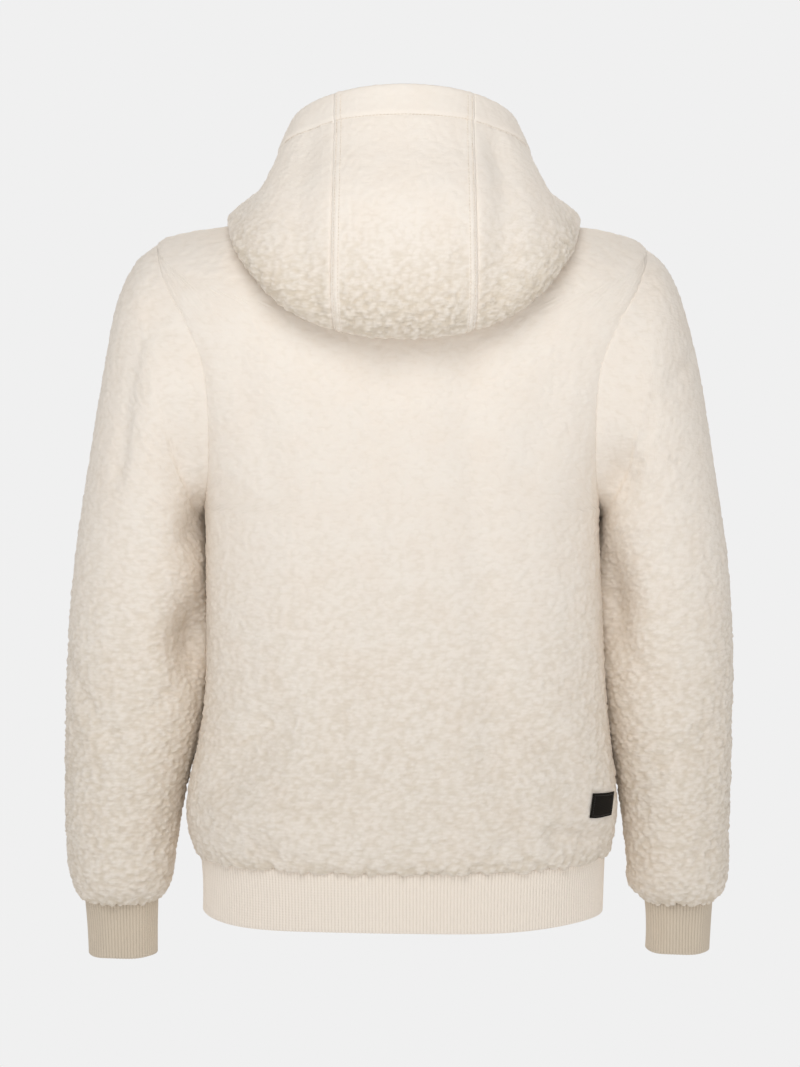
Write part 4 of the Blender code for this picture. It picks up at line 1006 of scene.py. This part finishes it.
def sleevePiece(name, side):
    which = "Left" if side > 0 else "Right"
    sections, turns, inward = sleeveSections(sleeveShape[which.lower()], side)
    last = len(sections) - 1
    lines = through(sections, np.linspace(0, last, 600))
    quarter = sleeveShape["columns"] // 4
    run = runLength(lines)[:, [0, quarter, 2 * quarter]] @ (0.5, 0.3, 0.2)   # down the outside, back and inside
    at = np.interp(np.linspace(0, run[-1], sleeveShape["rows"]), run, np.linspace(0, last, 600))
    points, turn = through(sections, at), np.degrees(through(turns, at))
    z = points[..., 2].copy()
    settled = smoothStep(0.0, 1.0, at)[:, None]
    push, rest = [
        sum(deep * swell(turn - degrees, halfTurn) * swell(z - midZ, halfZ)
            for degrees, midZ, deep, halfTurn, halfZ in sleeveShape[kind + which])
        for kind in ("hollows", "rests")]
    points = points + (push * settled)[..., None] * np.array((sleeveShape["hollowLean"] * side, -1.0, 0.0))
    points[..., 0] -= side * rest * settled

    def facing():
        return unit(gridNormals(points, side) * settled[..., None] - inward * (1 - settled[..., None]))

    normals = facing()
    degree = sleeveShape["degree"]
    for turnA, zA, turnB, zB, deep, half in sleeveShape["folds" + which]:
        trough = fold(turn * degree, z, (turnA * degree, zA), (turnB * degree, zB), deep, half,
                      sleeveShape["foldEnds"])
        points = points - normals * (trough * settled)[..., None]
    normals = facing()
    near = swell(edgeDistance(points, 0, False), cloth["seamHalf"])
    points = points - normals * (cloth["seamDip"] * near * settled)[..., None]
    under = swell(np.abs(turn - 180) * degree, sleeveShape["underHalf"])
    pile = (looseCurlsAndShade(points) * sleeveShape["pile"] * (1 - cloth["seamFlat"] * near)
            * (1 - sleeveShape["underFlat"] * under))
    run = np.radians(turn) * sleeveShape["wristRadius"]
    points, pile = raggedEdge(points, normals, pile, edgeDistance(points, 0, True), run,
                              sleeveShape["tuftDrop"], sleeveShape["tuftStand"], sleeveShape["tuftSeeds" + which])
    obj = closedCloth(name, points, normals, pile, isRing=True, roundEdges=("bottom",))
    return bakeNodes(obj, pileCurls, {"Seed": 5.0})


sleeves = {"sleeve_left": sleevePiece("leftSleeve", 1), "sleeve_right": sleevePiece("rightSleeve", -1)}
for node, piece in sleeves.items():
    sit(piece, "jacket", "fleece", node)
print("sleeves:", {n: len(o.data.polygons) for n, o in sleeves.items()})


# the hood, lying down the back

hoodShape = {
    # angle from the middle back, stand, foot ring, clearance, then distance from the neck's axis
    # and height of the fold, the belly, the middle and the rim
    "profiles": [
        (0, 0.024, 4.20, 0.005, 0.1500, -0.1270, 0.1750, -0.0920, 0.1745, -0.0050, 0.1180, 0.1110),
        (20, 0.024, 4.10, 0.004, 0.1570, -0.1220, 0.1805, -0.0880, 0.1745, -0.0040, 0.1165, 0.1090),
        (40, 0.023, 3.40, 0.003, 0.1690, -0.1000, 0.1885, -0.0710, 0.1690, 0.0030, 0.1150, 0.1030),
        (60, 0.021, 2.40, 0.003, 0.1780, -0.0510, 0.1870, -0.0330, 0.1580, 0.0180, 0.1160, 0.0930),
        (80, 0.018, 1.90, 0.003, 0.1745, -0.0118, 0.1715, -0.0020, 0.1400, 0.0270, 0.1150, 0.0780),
        (100, 0.016, 1.80, 0.003, 0.1690, -0.0112, 0.1655, -0.0020, 0.1370, 0.0220, 0.1130, 0.0580),
        (125, 0.014, 1.60, 0.003, 0.1540, -0.0350, 0.1580, -0.0250, 0.1330, 0.0000, 0.1130, 0.0270),
        (150, 0.012, 1.20, 0.003, 0.1300, -0.0620, 0.1340, -0.0530, 0.1240, -0.0310, 0.1140, -0.0090),
        (176, 0.010, 0.70, 0.003, 0.1110, -0.0720, 0.1140, -0.0640, 0.1130, -0.0520, 0.1100, -0.0380),
    ],
    # half the middle strip's width, from the neck seam to the rim
    "strip": (0.036, 0.038, 0.044, 0.049, 0.055, 0.061, 0.066, 0.069, 0.0675, 0.0665, 0.0660),
    "shift": -0.002,
    "throat": math.radians(176),
    "hiddenRows": 44, "shownRows": 125, "middleColumns": 89, "sideColumns": 161,
    "rimBand": 0.0300, "bandRise": 0.0012, "stitchDip": 0.0012, "stitchHalf": 0.0014,
    "seamHalf": 0.0022, "seamDip": 0.0014,
    # the sewn down allowance: where it rises and falls, how far, and its two lines of top stitching
    "raised": (0.0006, 0.0022, 0.0082, 0.0104), "raise": 0.0011,
    "allowance": (0.0030, 0.0080), "grooveHalf": 0.0009, "grooveDip": 0.0007,
    "throatStitch": 0.0065,
    "threadLift": 0.0003,
    # how much flatter the pile lies along each of these
    "flat": {"rimStitch": 0.85, "rimBand": 0.35, "seam": 0.6, "raised": 0.45, "groove": 0.8, "throat": 0.75},
    # seams show in full between these two places on the profile, and this much of them elsewhere
    "seamFull": (6.9, 7.4), "seamElsewhere": 0.24,
    # the pile's height where hidden, what it gains where shown, and how much more it has over the fold, where the
    # taller pile also gives painted shade
    "pile": {"hidden": 0.25, "shown": 0.20, "foldPileAndShade": 2.3, "foldAt": 6.6, "foldHalf": 0.9,
             "endsLess": 0.8, "endsFrom": 0.95, "endsTo": 1.30, "endsAt": 6.0, "endsHalf": 1.2},
    "curls": {"Curl width": 0.0056, "Curl height": 0.0044, "Seed": 8.0},
    # slack: azimuth, half its turn, depth, and where it starts and ends along the profile
    "valleys": [
        (0.62, 0.13, 0.0042, 6.8, 9.4),
        (-0.60, 0.12, 0.0068, 6.9, 9.2),
        (1.25, 0.20, 0.0030, 6.6, 9.0),
        (-1.30, 0.20, 0.0034, 6.6, 9.0),
    ],
}


def torsoProfile(azimuth, ring):
    half, sideZ, back, backZ, front, frontZ, square = np.moveaxis(
        through(torsoShape["rings"], ring)[..., :7], -1, 0)
    isBack = np.cos(azimuth) >= 0
    depth, midZ = np.where(isBack, back, front), np.where(isBack, backZ, frontZ)
    spread = (np.abs(np.sin(azimuth)) / half) ** square + (np.abs(np.cos(azimuth)) / depth) ** square
    reach = spread ** (-1 / square)
    share = reach * np.abs(np.cos(azimuth)) / depth
    return reach, sideZ + (midZ - sideZ) * share ** torsoShape["shoulderFall"]


def hoodProfile(azimuth):
    table = np.array(hoodShape["profiles"])
    rows = np.interp(np.abs(np.degrees(azimuth)), table[:, 0], np.arange(len(table)))
    columns = np.moveaxis(through(table[:, 1:], rows), -1, 0)
    stand, foot, clear, foldR, foldZ, bellyR, bellyZ, midR, midZ, rimR, rimZ = columns
    neckR, neckZ = torsoProfile(azimuth, np.zeros_like(azimuth))
    gap = 2 * cloth["seamGap"]
    points = [(neckR - gap, neckZ - cloth["wall"]), (neckR - gap, neckZ + 0.45 * stand),
              (neckR + 0.20 * stand, neckZ + stand)]
    for share in (0.40, 0.72, 1.0):
        hereR, hereZ = torsoProfile(azimuth, foot * share)
        pastR, pastZ = torsoProfile(azimuth, foot * share + 0.05)
        length = np.hypot(pastR - hereR, pastZ - hereZ)
        points.append((hereR - clear * (pastZ - hereZ) / length, hereZ + clear * (pastR - hereR) / length))
    points += [(foldR, foldZ), (bellyR, bellyZ), (midR, midZ),
               (0.42 * midR + 0.58 * rimR, 0.45 * midZ + 0.55 * rimZ), (rimR, rimZ)]
    return np.stack([np.stack(np.broadcast_arrays(*pair), -1) for pair in points], -2)


def alongEach(controls, at):
    # each element's own control points, read at its own place on a smooth curve
    last = controls.shape[-2] - 1
    at = np.clip(at, 0.0, last)
    low = np.minimum(at.astype(int), last - 1)
    t = (at - low)[..., None]

    def pick(index):
        return np.take_along_axis(controls, np.clip(index, 0, last)[..., None, None], -2)[..., 0, :]

    return smoothSpan(pick(low - 1), pick(low), pick(low + 1), pick(low + 2), t)


def hood(azimuth, along):
    azimuth, along = np.broadcast_arrays(np.asarray(azimuth, float), np.asarray(along, float))
    profile = alongEach(hoodProfile(azimuth), along)
    x = hoodShape["shift"] * np.clip(along / 3, 0, 1) + profile[..., 0] * np.sin(azimuth)
    return np.stack([x, profile[..., 0] * np.cos(azimuth), profile[..., 1]], -1)


def hoodNormal(azimuth, along):
    roundWay = hood(azimuth + 0.01, along) - hood(azimuth - 0.01, along)
    last = len(hoodShape["strip"]) - 1
    upWay = hood(azimuth, np.minimum(along + 0.03, last)) - hood(azimuth, np.maximum(along - 0.03, 0))
    return unit(np.cross(upWay, roundWay))


def stripAzimuth(along):
    half = through(np.array(hoodShape["strip"])[:, None], along)[:, 0]
    azimuth = np.full_like(along, 0.4)
    for _ in range(12):
        reach = alongEach(hoodProfile(azimuth), along)[:, 0]
        azimuth = (azimuth + np.arcsin(np.clip(half / reach, 0, 0.95))) / 2
    return azimuth


def hoodRows():
    # sparse where the hood lies on the shoulders, dense from the fold to the rim
    hidden = np.linspace(0, 5.0, hoodShape["hiddenRows"], endpoint=False)
    fine = np.linspace(5.0, 10.0, 800)
    run = runLength(hood(np.zeros_like(fine), fine)) + runLength(hood(np.full_like(fine, 1.2), fine))
    shown = np.interp(np.linspace(0, run[-1], hoodShape["shownRows"]), run, fine)
    return np.concatenate([hidden, shown])


def hoodPiece(name, side):
    along = hoodRows()
    seam = stripAzimuth(along)
    throat = np.full_like(seam, hoodShape["throat"])
    start, stop = {0: (-seam, seam), 1: (seam, throat), -1: (-throat, -seam)}[side]
    share = np.linspace(0, 1, hoodShape["middleColumns"] if side == 0 else hoodShape["sideColumns"])
    azimuth = start[:, None] * (1 - share) + stop[:, None] * share
    places = np.broadcast_to(along[:, None], azimuth.shape)
    points, normals = hood(azimuth, places), hoodNormal(azimuth, places)
    shown = smoothStep(5.2, 6.2, places)
    for middle, half, depth, low, top in hoodShape["valleys"]:
        lean = middle + (places - 8) * 0.10 * np.sign(middle)
        lane = (swell(azimuth - lean, half) * smoothStep(low - 0.8, low + 0.3, places)
                * (1 - smoothStep(top - 0.5, top + 0.3, places)))
        points = points - normals * (depth * lane)[..., None]
    nap, flat = hoodShape["pile"], hoodShape["flat"]
    pile = ((nap["hidden"] + nap["shown"] * shown)
            * (1 + nap["foldPileAndShade"] * swell(places - nap["foldAt"], nap["foldHalf"])))
    pile = pile * (1 - nap["endsLess"] * smoothStep(nap["endsFrom"], nap["endsTo"], np.abs(azimuth))
                   * swell(places - nap["endsAt"], nap["endsHalf"]))
    fullFrom, fullTo = hoodShape["seamFull"]
    faint = hoodShape["seamElsewhere"]
    plain = faint + (1 - faint) * swell(np.minimum(places - fullFrom, 0) + np.maximum(places - fullTo, 0), 1.0)
    rim = edgeDistance(points, 0, True)
    rimLine = hoodShape["rimBand"] + 0.0004
    band = smoothStep(hoodShape["rimBand"] + 0.0010, hoodShape["rimBand"] - 0.0014, rim)
    line = swell(rim - hoodShape["rimBand"] - 0.0004, hoodShape["stitchHalf"])
    points = points + normals * (hoodShape["bandRise"] * band - hoodShape["stitchDip"] * line)[..., None]
    pile = pile * (1 - flat["rimStitch"] * line) * (1 - flat["rimBand"] * band)
    lift = hoodShape["threadLift"] * normals
    stitchLines.append(lineAt(points + lift, rim, rimLine, 0)[2:-2])
    first, final = edgeDistance(points, 1, False), edgeDistance(points, 1, True)
    for away in {0: (first, final), 1: (first,), -1: (final,)}[side]:
        near = swell(away, hoodShape["seamHalf"])
        points = points - normals * (hoodShape["seamDip"] * near * plain)[..., None]
        pile = pile * (1 - flat["seam"] * near * plain)
        if side == 0:
            riseFrom, riseTo, fallFrom, fallTo = hoodShape["raised"]
            raised = smoothStep(riseFrom, riseTo, away) * (1 - smoothStep(fallFrom, fallTo, away))
            points = points + normals * (hoodShape["raise"] * raised * shown * plain)[..., None]
            pile = pile * (1 - flat["raised"] * raised * plain)
            for inset in hoodShape["allowance"]:
                groove = swell(away - inset, hoodShape["grooveHalf"])
                points = points - normals * (hoodShape["grooveDip"] * groove * shown * plain)[..., None]
                pile = pile * (1 - flat["groove"] * groove * plain)
                stitchLines.append(lineAt(points + lift, away, inset, 1)[hoodShape["hiddenRows"] + 6:-2])
    if side:
        throatSide = final if side > 0 else first
        pile = pile * (1 - flat["throat"] * swell(throatSide - hoodShape["throatStitch"], hoodShape["stitchHalf"]))
        stitchLines.append(lineAt(points + lift, throatSide, hoodShape["throatStitch"], 1)[6:-20])
    edges = {0: ("bottom",), 1: ("last", "bottom"), -1: ("first", "bottom")}[side]
    obj = closedCloth(name, points, normals, pile, roundEdges=edges)
    return bakeNodes(obj, pileCurls, hoodShape["curls"])


hoodPieces = {"hood_centre": hoodPiece("hoodMiddle", 0), "hood_left": hoodPiece("hoodLeft", 1),
              "hood_right": hoodPiece("hoodRight", -1)}
for node, piece in hoodPieces.items():
    sit(piece, "jacket", "fleece", node)
print("hood:", {n: len(o.data.polygons) for n, o in hoodPieces.items()})


# knit bands

bandShape = {
    # middle x, half width and half depth at the seam and at the free edge, and the two heights
    "hem": {"top": (-0.0008, 0.2022, 0.1272), "low": (-0.0008, 0.2002, 0.1252), "square": 2.4, "backY": 0.0,
            "z": (-0.6343, -0.6955), "rows": 17},
    "cuffLeft": {"top": (0.28425, 0.03625, 0.0310), "low": (0.2830, 0.0340, 0.0300), "square": 2.2,
                 "backY": -0.0120, "z": (-0.6873, -0.7450), "rows": 17},
    "cuffRight": {"top": (-0.28025, 0.03375, 0.0310), "low": (-0.2795, 0.0315, 0.0300), "square": 2.2,
                  "backY": -0.0120, "z": (-0.6873, -0.7410), "rows": 17},
    "wall": 0.0022, "pitch": 0.0033, "perRib": 6, "pull": 0.0009,
    "wobble": 0.0008, "hemSway": 0.0010, "cuffSway": 0.0003,
}


def ovalPoints(level, shape, angle):
    centre, half, depth = level
    across, deep = np.cos(angle), np.sin(angle)
    power = 2 / shape["square"]
    x = centre + half * np.sign(across) * np.abs(across) ** power
    return np.stack([x, shape["backY"] + depth * np.sign(deep) * np.abs(deep) ** power], -1)


def knitBand(name, shape, start, stop, isRing):
    # pulls in a little between its seam and its free edge, where it rolls
    fine = np.linspace(start, stop, 6000)
    run = runLength(ovalPoints(shape["top"], shape, fine))
    ribs = 2 * round(run[-1] / bandShape["pitch"] / 2)
    columns = ribs * bandShape["perRib"] + (0 if isRing else 1)
    share = np.linspace(0, 1, columns, endpoint=not isRing)
    angle = np.interp(share * run[-1], run, fine)
    topZ, lowZ = shape["z"][0], shape["z"][1] + bandShape["wall"] / 2
    points, normals = [], []
    for t in np.linspace(0, 1, shape["rows"]):
        level = [a * (1 - t) + b * t for a, b in zip(shape["top"], shape["low"])]
        way = unit(ovalPoints(level, shape, angle + 0.004) - ovalPoints(level, shape, angle - 0.004))
        out = np.stack([way[:, 1], -way[:, 0]], -1)
        bow = math.sin(math.pi * t)
        inward = bandShape["pull"] * bow + bandShape["wobble"] * np.sin(angle * 7 + 2) * bow
        ring = ovalPoints(level, shape, angle) - out * np.broadcast_to(inward, (columns,))[:, None]
        sway = bandShape["cuffSway" if isRing else "hemSway"] * np.sin(angle * 5 + 1) * t
        points.append(np.concatenate([ring, (topZ + (lowZ - topZ) * t + sway)[:, None]], 1))
        normals.append(np.concatenate([out, np.zeros((columns, 1))], 1))
    points, normals = np.array(points), np.array(normals)
    knit, ribsOf = ("shadedCuffKnit", cuffRibs) if isRing else ("ribKnit", hemRibs)
    obj = closedCloth(name, points, normals, np.ones(points.shape[:2]), isRing=isRing, roundEdges=("bottom",),
                      wall=bandShape["wall"], sink=0.0, faces=(knit, knit))
    dense = shape["rows"] + 3
    shares = np.zeros(len(obj.data.vertices), np.float32)
    shares[:dense * columns] = np.tile(share, dense)
    obj.data.attributes.new("share", "FLOAT", "POINT").data.foreach_set("value", shares)
    return bakeNodes(obj, ribsOf, {"Ribs": float(ribs)})


# the hem's ends stop beside the zip
halfHem = 0.2030
halfGap = math.pi / 2 - math.acos((cloth["frontEdgeX"] / halfHem) ** (bandShape["hem"]["square"] / 2))
bands = {
    "hem_rib": knitBand("hemBand", bandShape["hem"], halfGap - math.pi / 2, 1.5 * math.pi - halfGap, False),
    "cuff_left": knitBand("leftCuff", bandShape["cuffLeft"], 0.0, 2 * math.pi, True),
    "cuff_right": knitBand("rightCuff", bandShape["cuffRight"], 0.0, 2 * math.pi, True),
}
for node, band in bands.items():
    sit(band, "jacket", "rib", node)
print("knit bands:", {n: len(o.data.polygons) for n, o in bands.items()})


# zip: tapes with their coils, slider and pull tab

zipShape = {
    "startRing": 0.80, "rows": 110, "ribRows": 11,
    "across": (0.0002, 0.0035, 0.0070, 0.0110, 0.0150), "wall": 0.0009,
    "behind": 0.0043,      # the tape's front from the cloth's face
    "coilX": 0.00135, "coilBehind": 0.0036, "coilShift": 0.00045,
    "ribZ": (-0.6343, -0.6950), "ribFaceY": -0.1255, "taper": 0.0020, "coilFront": 0.0007,
}


def zipTape(name, side):
    rings = np.interp(np.linspace(0, 1, zipShape["rows"]), (0, 1), (zipShape["startRing"], torsoShape["hemRing"]))
    across = side * np.array(zipShape["across"])
    few = len(across)
    points, normals, coil = [], [], []
    for ring in rings:
        angles = angleAt(across, np.full(few, ring), False)
        row, out = torso(angles, ring), torsoNormal(angles, ring)
        row[:, 0] = across
        points.append(row - out * zipShape["behind"])
        normals.append(out)
        coil.append(row[0] * (0, 1, 1) + (side * zipShape["coilX"], 0, 0) - out[0] * zipShape["coilBehind"])
    topZ, lowZ = zipShape["ribZ"]
    for z in np.linspace(topZ, lowZ, zipShape["ribRows"]):
        y = zipShape["ribFaceY"] + zipShape["taper"] * (z - topZ) / (lowZ - topZ)
        points.append(np.stack([across, np.full(few, y), np.full(few, z)], -1))
        normals.append(np.broadcast_to((0.0, -1.0, 0.0), (few, 3)))
        coil.append(np.array((side * zipShape["coilX"], y - zipShape["coilFront"], z)))
    coil = np.array(coil)
    coil[:, 2] += zipShape["coilShift"] * side   # the two sides' loops alternate
    points, normals = np.array(points), np.array(normals)
    tape = closedCloth(name, points, normals, np.zeros(points.shape[:2]), wall=zipShape["wall"], sink=0.0,
                       faces=("wovenTape", "wovenTape"))
    loops = smoothAll(bakeNodes(lineObject(name + "Coil", [coil[1:-1]]), zipCoil))
    return joined(tape, loops)


tapes = {"zip_tape_left": zipTape("leftTape", 1), "zip_tape_right": zipTape("rightTape", -1)}
for node, tape in tapes.items():
    sit(tape, "jacket", "tape", node)


def softenedCopy(name, node, width):
    # the metal part with the rounded edges that tumbling leaves
    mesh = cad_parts[node].data.copy()
    shaped = bmesh.new()
    shaped.from_mesh(mesh)
    bmesh.ops.remove_doubles(shaped, verts=shaped.verts, dist=1e-6)
    bmesh.ops.dissolve_limit(shaped, angle_limit=math.radians(2), verts=shaped.verts, edges=shaped.edges)
    shaped.to_mesh(mesh)
    shaped.free()
    mesh.name = name
    mesh.materials.clear()
    mesh.materials.append(materials["dieCastNickel"])
    obj = newObject(name, mesh)
    bevel = obj.modifiers.new("edges", "BEVEL")
    bevel.width, bevel.segments, bevel.limit_method = width, 2, "ANGLE"
    bevel.angle_limit = math.radians(35)
    mesh.shade_smooth()
    return obj


slider = softenedCopy("zipSliderCast", "zip_slider", width=0.0005)
pullTab = softenedCopy("pullTabCast", "pull_tab", width=0.0003)
sit(slider, "jacket", "metal", "zip_slider")
sit(pullTab, "tab", "metal", "pull_tab")
print("zip done")


# label, a woven patch standing a little off the pile

def labelPiece():
    count = labelPatch["count"]
    (startX, stopX), (topRing, lowRing) = labelPatch["x"], labelPatch["rings"]
    share = np.linspace(0, 1, count)
    points, normals = [], []
    for down in share:
        ring = topRing + down * (lowRing - topRing)
        rings = ring - labelPatch["tilt"] * (share * 2 - 1) + labelPatch["ripple"] * np.sin(share * 5) * down
        x = startX + (stopX - startX) * share + labelPatch["slant"] * (down - 0.5)
        angles = angleAt(x, rings, True)
        out = torsoNormal(angles, rings)
        edge = np.minimum(np.minimum(share, 1 - share), min(down, 1 - down))
        lift = labelPatch["lift"] + labelPatch["wall"] + labelPatch["bulge"] * smoothStep(0, 0.3, edge)
        points.append(torso(angles, rings) + out * lift[:, None])
        normals.append(out)
    points, normals = np.array(points), np.array(normals)
    obj = closedCloth("sideLabel", points, normals, np.zeros((count, count)), wall=labelPatch["wall"], sink=0.0,
                      roundEdges=("top", "bottom", "first", "last"), faces=("blackDamask", "blackDamask"))
    a, b, middle = 2, count - 3, count // 2
    loop = np.concatenate([points[a, a:b], points[a:b, b], points[b, b:a:-1], points[b:a - 1:-1, a]])
    thread = lineObject("labelThread", [loop + 0.0002 * normals[middle, middle]])
    return obj, smoothAll(bakeNodes(thread, labelStitch))


labelMade, labelThread = labelPiece()
sit(labelMade, "jacket", "label", "label")
sit(labelThread, "jacket", "label")

topStitching = smoothAll(bakeNodes(lineObject("topStitching", stitchLines), topStitch))
sit(topStitching, "jacket", "fleece")
print("label and stitching done")


# floor, light and camera

stageLook = {
    "paper": "f0f0f0", "nearPaper": "e6e6e6", "floorZ": -1.36, "rings": (0.6, 1.5, 3.0, 9.0),
    "key": 24.4, "keySize": 1.6, "fill": 2.0, "fillSize": 2.0,
    "above": 0.24, "below": 0.12,   # the backdrop's light away from the horizon
}


def paperFloor():
    # matt paper sweep: plain near the object, and as bright as the backdrop further out
    tree, place = newMaterial("seamlessPaper")
    away = addNode(tree, "ShaderNodeVectorMath", {0: place}, operation="LENGTH").outputs["Value"]
    share = addNode(tree, "ShaderNodeMapRange", {"Value": away, "From Min": 1.3, "From Max": 2.2, "To Min": 0.62},
                    interpolation_type="SMOOTHSTEP").outputs[0]
    grain = addNode(tree, "ShaderNodeTexNoise", {"Vector": place, "Scale": 300.0, "Detail": 3.0}).outputs["Fac"]
    normal = addNode(tree, "ShaderNodeBump", {"Strength": 0.05, "Distance": 0.0005, "Height": grain}).outputs[0]
    near = addNode(tree, "ShaderNodeBsdfPrincipled",
                   {"Base Color": fromHex(stageLook["nearPaper"]), "Roughness": 0.9,
                    "Specular IOR Level": 0.1, "Normal": normal}).outputs[0]
    far = addNode(tree, "ShaderNodeEmission", {"Color": fromHex(stageLook["paper"]), "Strength": 1.0}).outputs[0]
    both = addNode(tree, "ShaderNodeMixShader", {0: share, 1: near, 2: far}).outputs[0]
    addNode(tree, "ShaderNodeOutputMaterial", {"Surface": both})
    shaped = bmesh.new()
    for radius in stageLook["rings"]:
        bmesh.ops.create_circle(shaped, segments=64, radius=radius)
    bmesh.ops.bridge_loops(shaped, edges=shaped.edges)
    inner = [e for e in shaped.edges if all(v.co.length < stageLook["rings"][0] + 0.01 for v in e.verts)]
    bmesh.ops.contextual_create(shaped, geom=inner)
    bmesh.ops.translate(shaped, verts=shaped.verts, vec=(0, 0, stageLook["floorZ"]))
    bmesh.ops.recalc_face_normals(shaped, faces=shaped.faces)
    mesh = bpy.data.meshes.new("paperFloor")
    shaped.to_mesh(mesh)
    shaped.free()
    mesh.materials.append(materials["seamlessPaper"])
    newObject("paperFloor", mesh)


def softLight(name, spot, aim, size, power):
    lamp = bpy.data.lights.new(name, "AREA")
    lamp.shape, lamp.size, lamp.energy = "DISK", size, power
    obj = bpy.data.objects.new(name, lamp)
    bpy.context.scene.collection.objects.link(obj)
    way = np.array(aim) - np.array(spot)
    obj.location = spot
    obj.rotation_euler = (math.acos(-way[2] / np.linalg.norm(way)), 0, math.atan2(way[1], way[0]) - math.pi / 2)


paperFloor()
softLight("keyLight", (0.15, 1.80, 1.15), (0, 0, -0.20), stageLook["keySize"], stageLook["key"])
softLight("fillLight", (-1.8, 1.9, 0.4), (0, 0, -0.35), stageLook["fillSize"], stageLook["fill"])
softLight("frontKey", (-0.15, -1.80, 1.15), (0, 0, -0.20), stageLook["keySize"], stageLook["key"])

scene = bpy.context.scene
world = bpy.data.worlds.new("paperWorld")
world.use_nodes = True
sky = world.node_tree
sky.nodes.clear()
way = addNode(sky, "ShaderNodeTexCoord").outputs["Generated"]
height = addNode(sky, "ShaderNodeSeparateXYZ", {0: way}).outputs["Z"]
above = addNode(sky, "ShaderNodeMapRange", {"Value": height, "From Min": 0.20, "From Max": 0.34, "To Min": 1.0,
                                            "To Max": stageLook["above"]}, interpolation_type="SMOOTHSTEP").outputs[0]
below = addNode(sky, "ShaderNodeMapRange", {"Value": height, "From Min": -0.42, "From Max": -0.30,
                                            "To Min": stageLook["below"], "To Max": 1.0},
                interpolation_type="SMOOTHSTEP").outputs[0]
bright = addNode(sky, "ShaderNodeMath", {0: above, 1: below}, operation="MULTIPLY").outputs[0]
glow = addNode(sky, "ShaderNodeBackground", {"Color": fromHex(stageLook["paper"]), "Strength": bright}).outputs[0]
addNode(sky, "ShaderNodeOutputWorld", {"Surface": glow})
scene.world = world
scene.view_settings.view_transform = "Standard"

cameraView = {"target": (0.002, 0.0, -0.3185), "distance": 2.4, "elevation": math.radians(3.5), "lens": 80.97}
cameraData = bpy.data.cameras.new("camera")
cameraData.lens, cameraData.sensor_width, cameraData.sensor_fit = cameraView["lens"], 36.0, "AUTO"
camera = bpy.data.objects.new("camera", cameraData)
scene.collection.objects.link(camera)
target, distance, elevation = cameraView["target"], cameraView["distance"], cameraView["elevation"]
camera.location = (target[0], distance * math.cos(elevation), target[2] + distance * math.sin(elevation))
camera.rotation_euler = (math.pi / 2 - elevation, 0.0, math.pi)
scene.camera = camera

print("stage set")
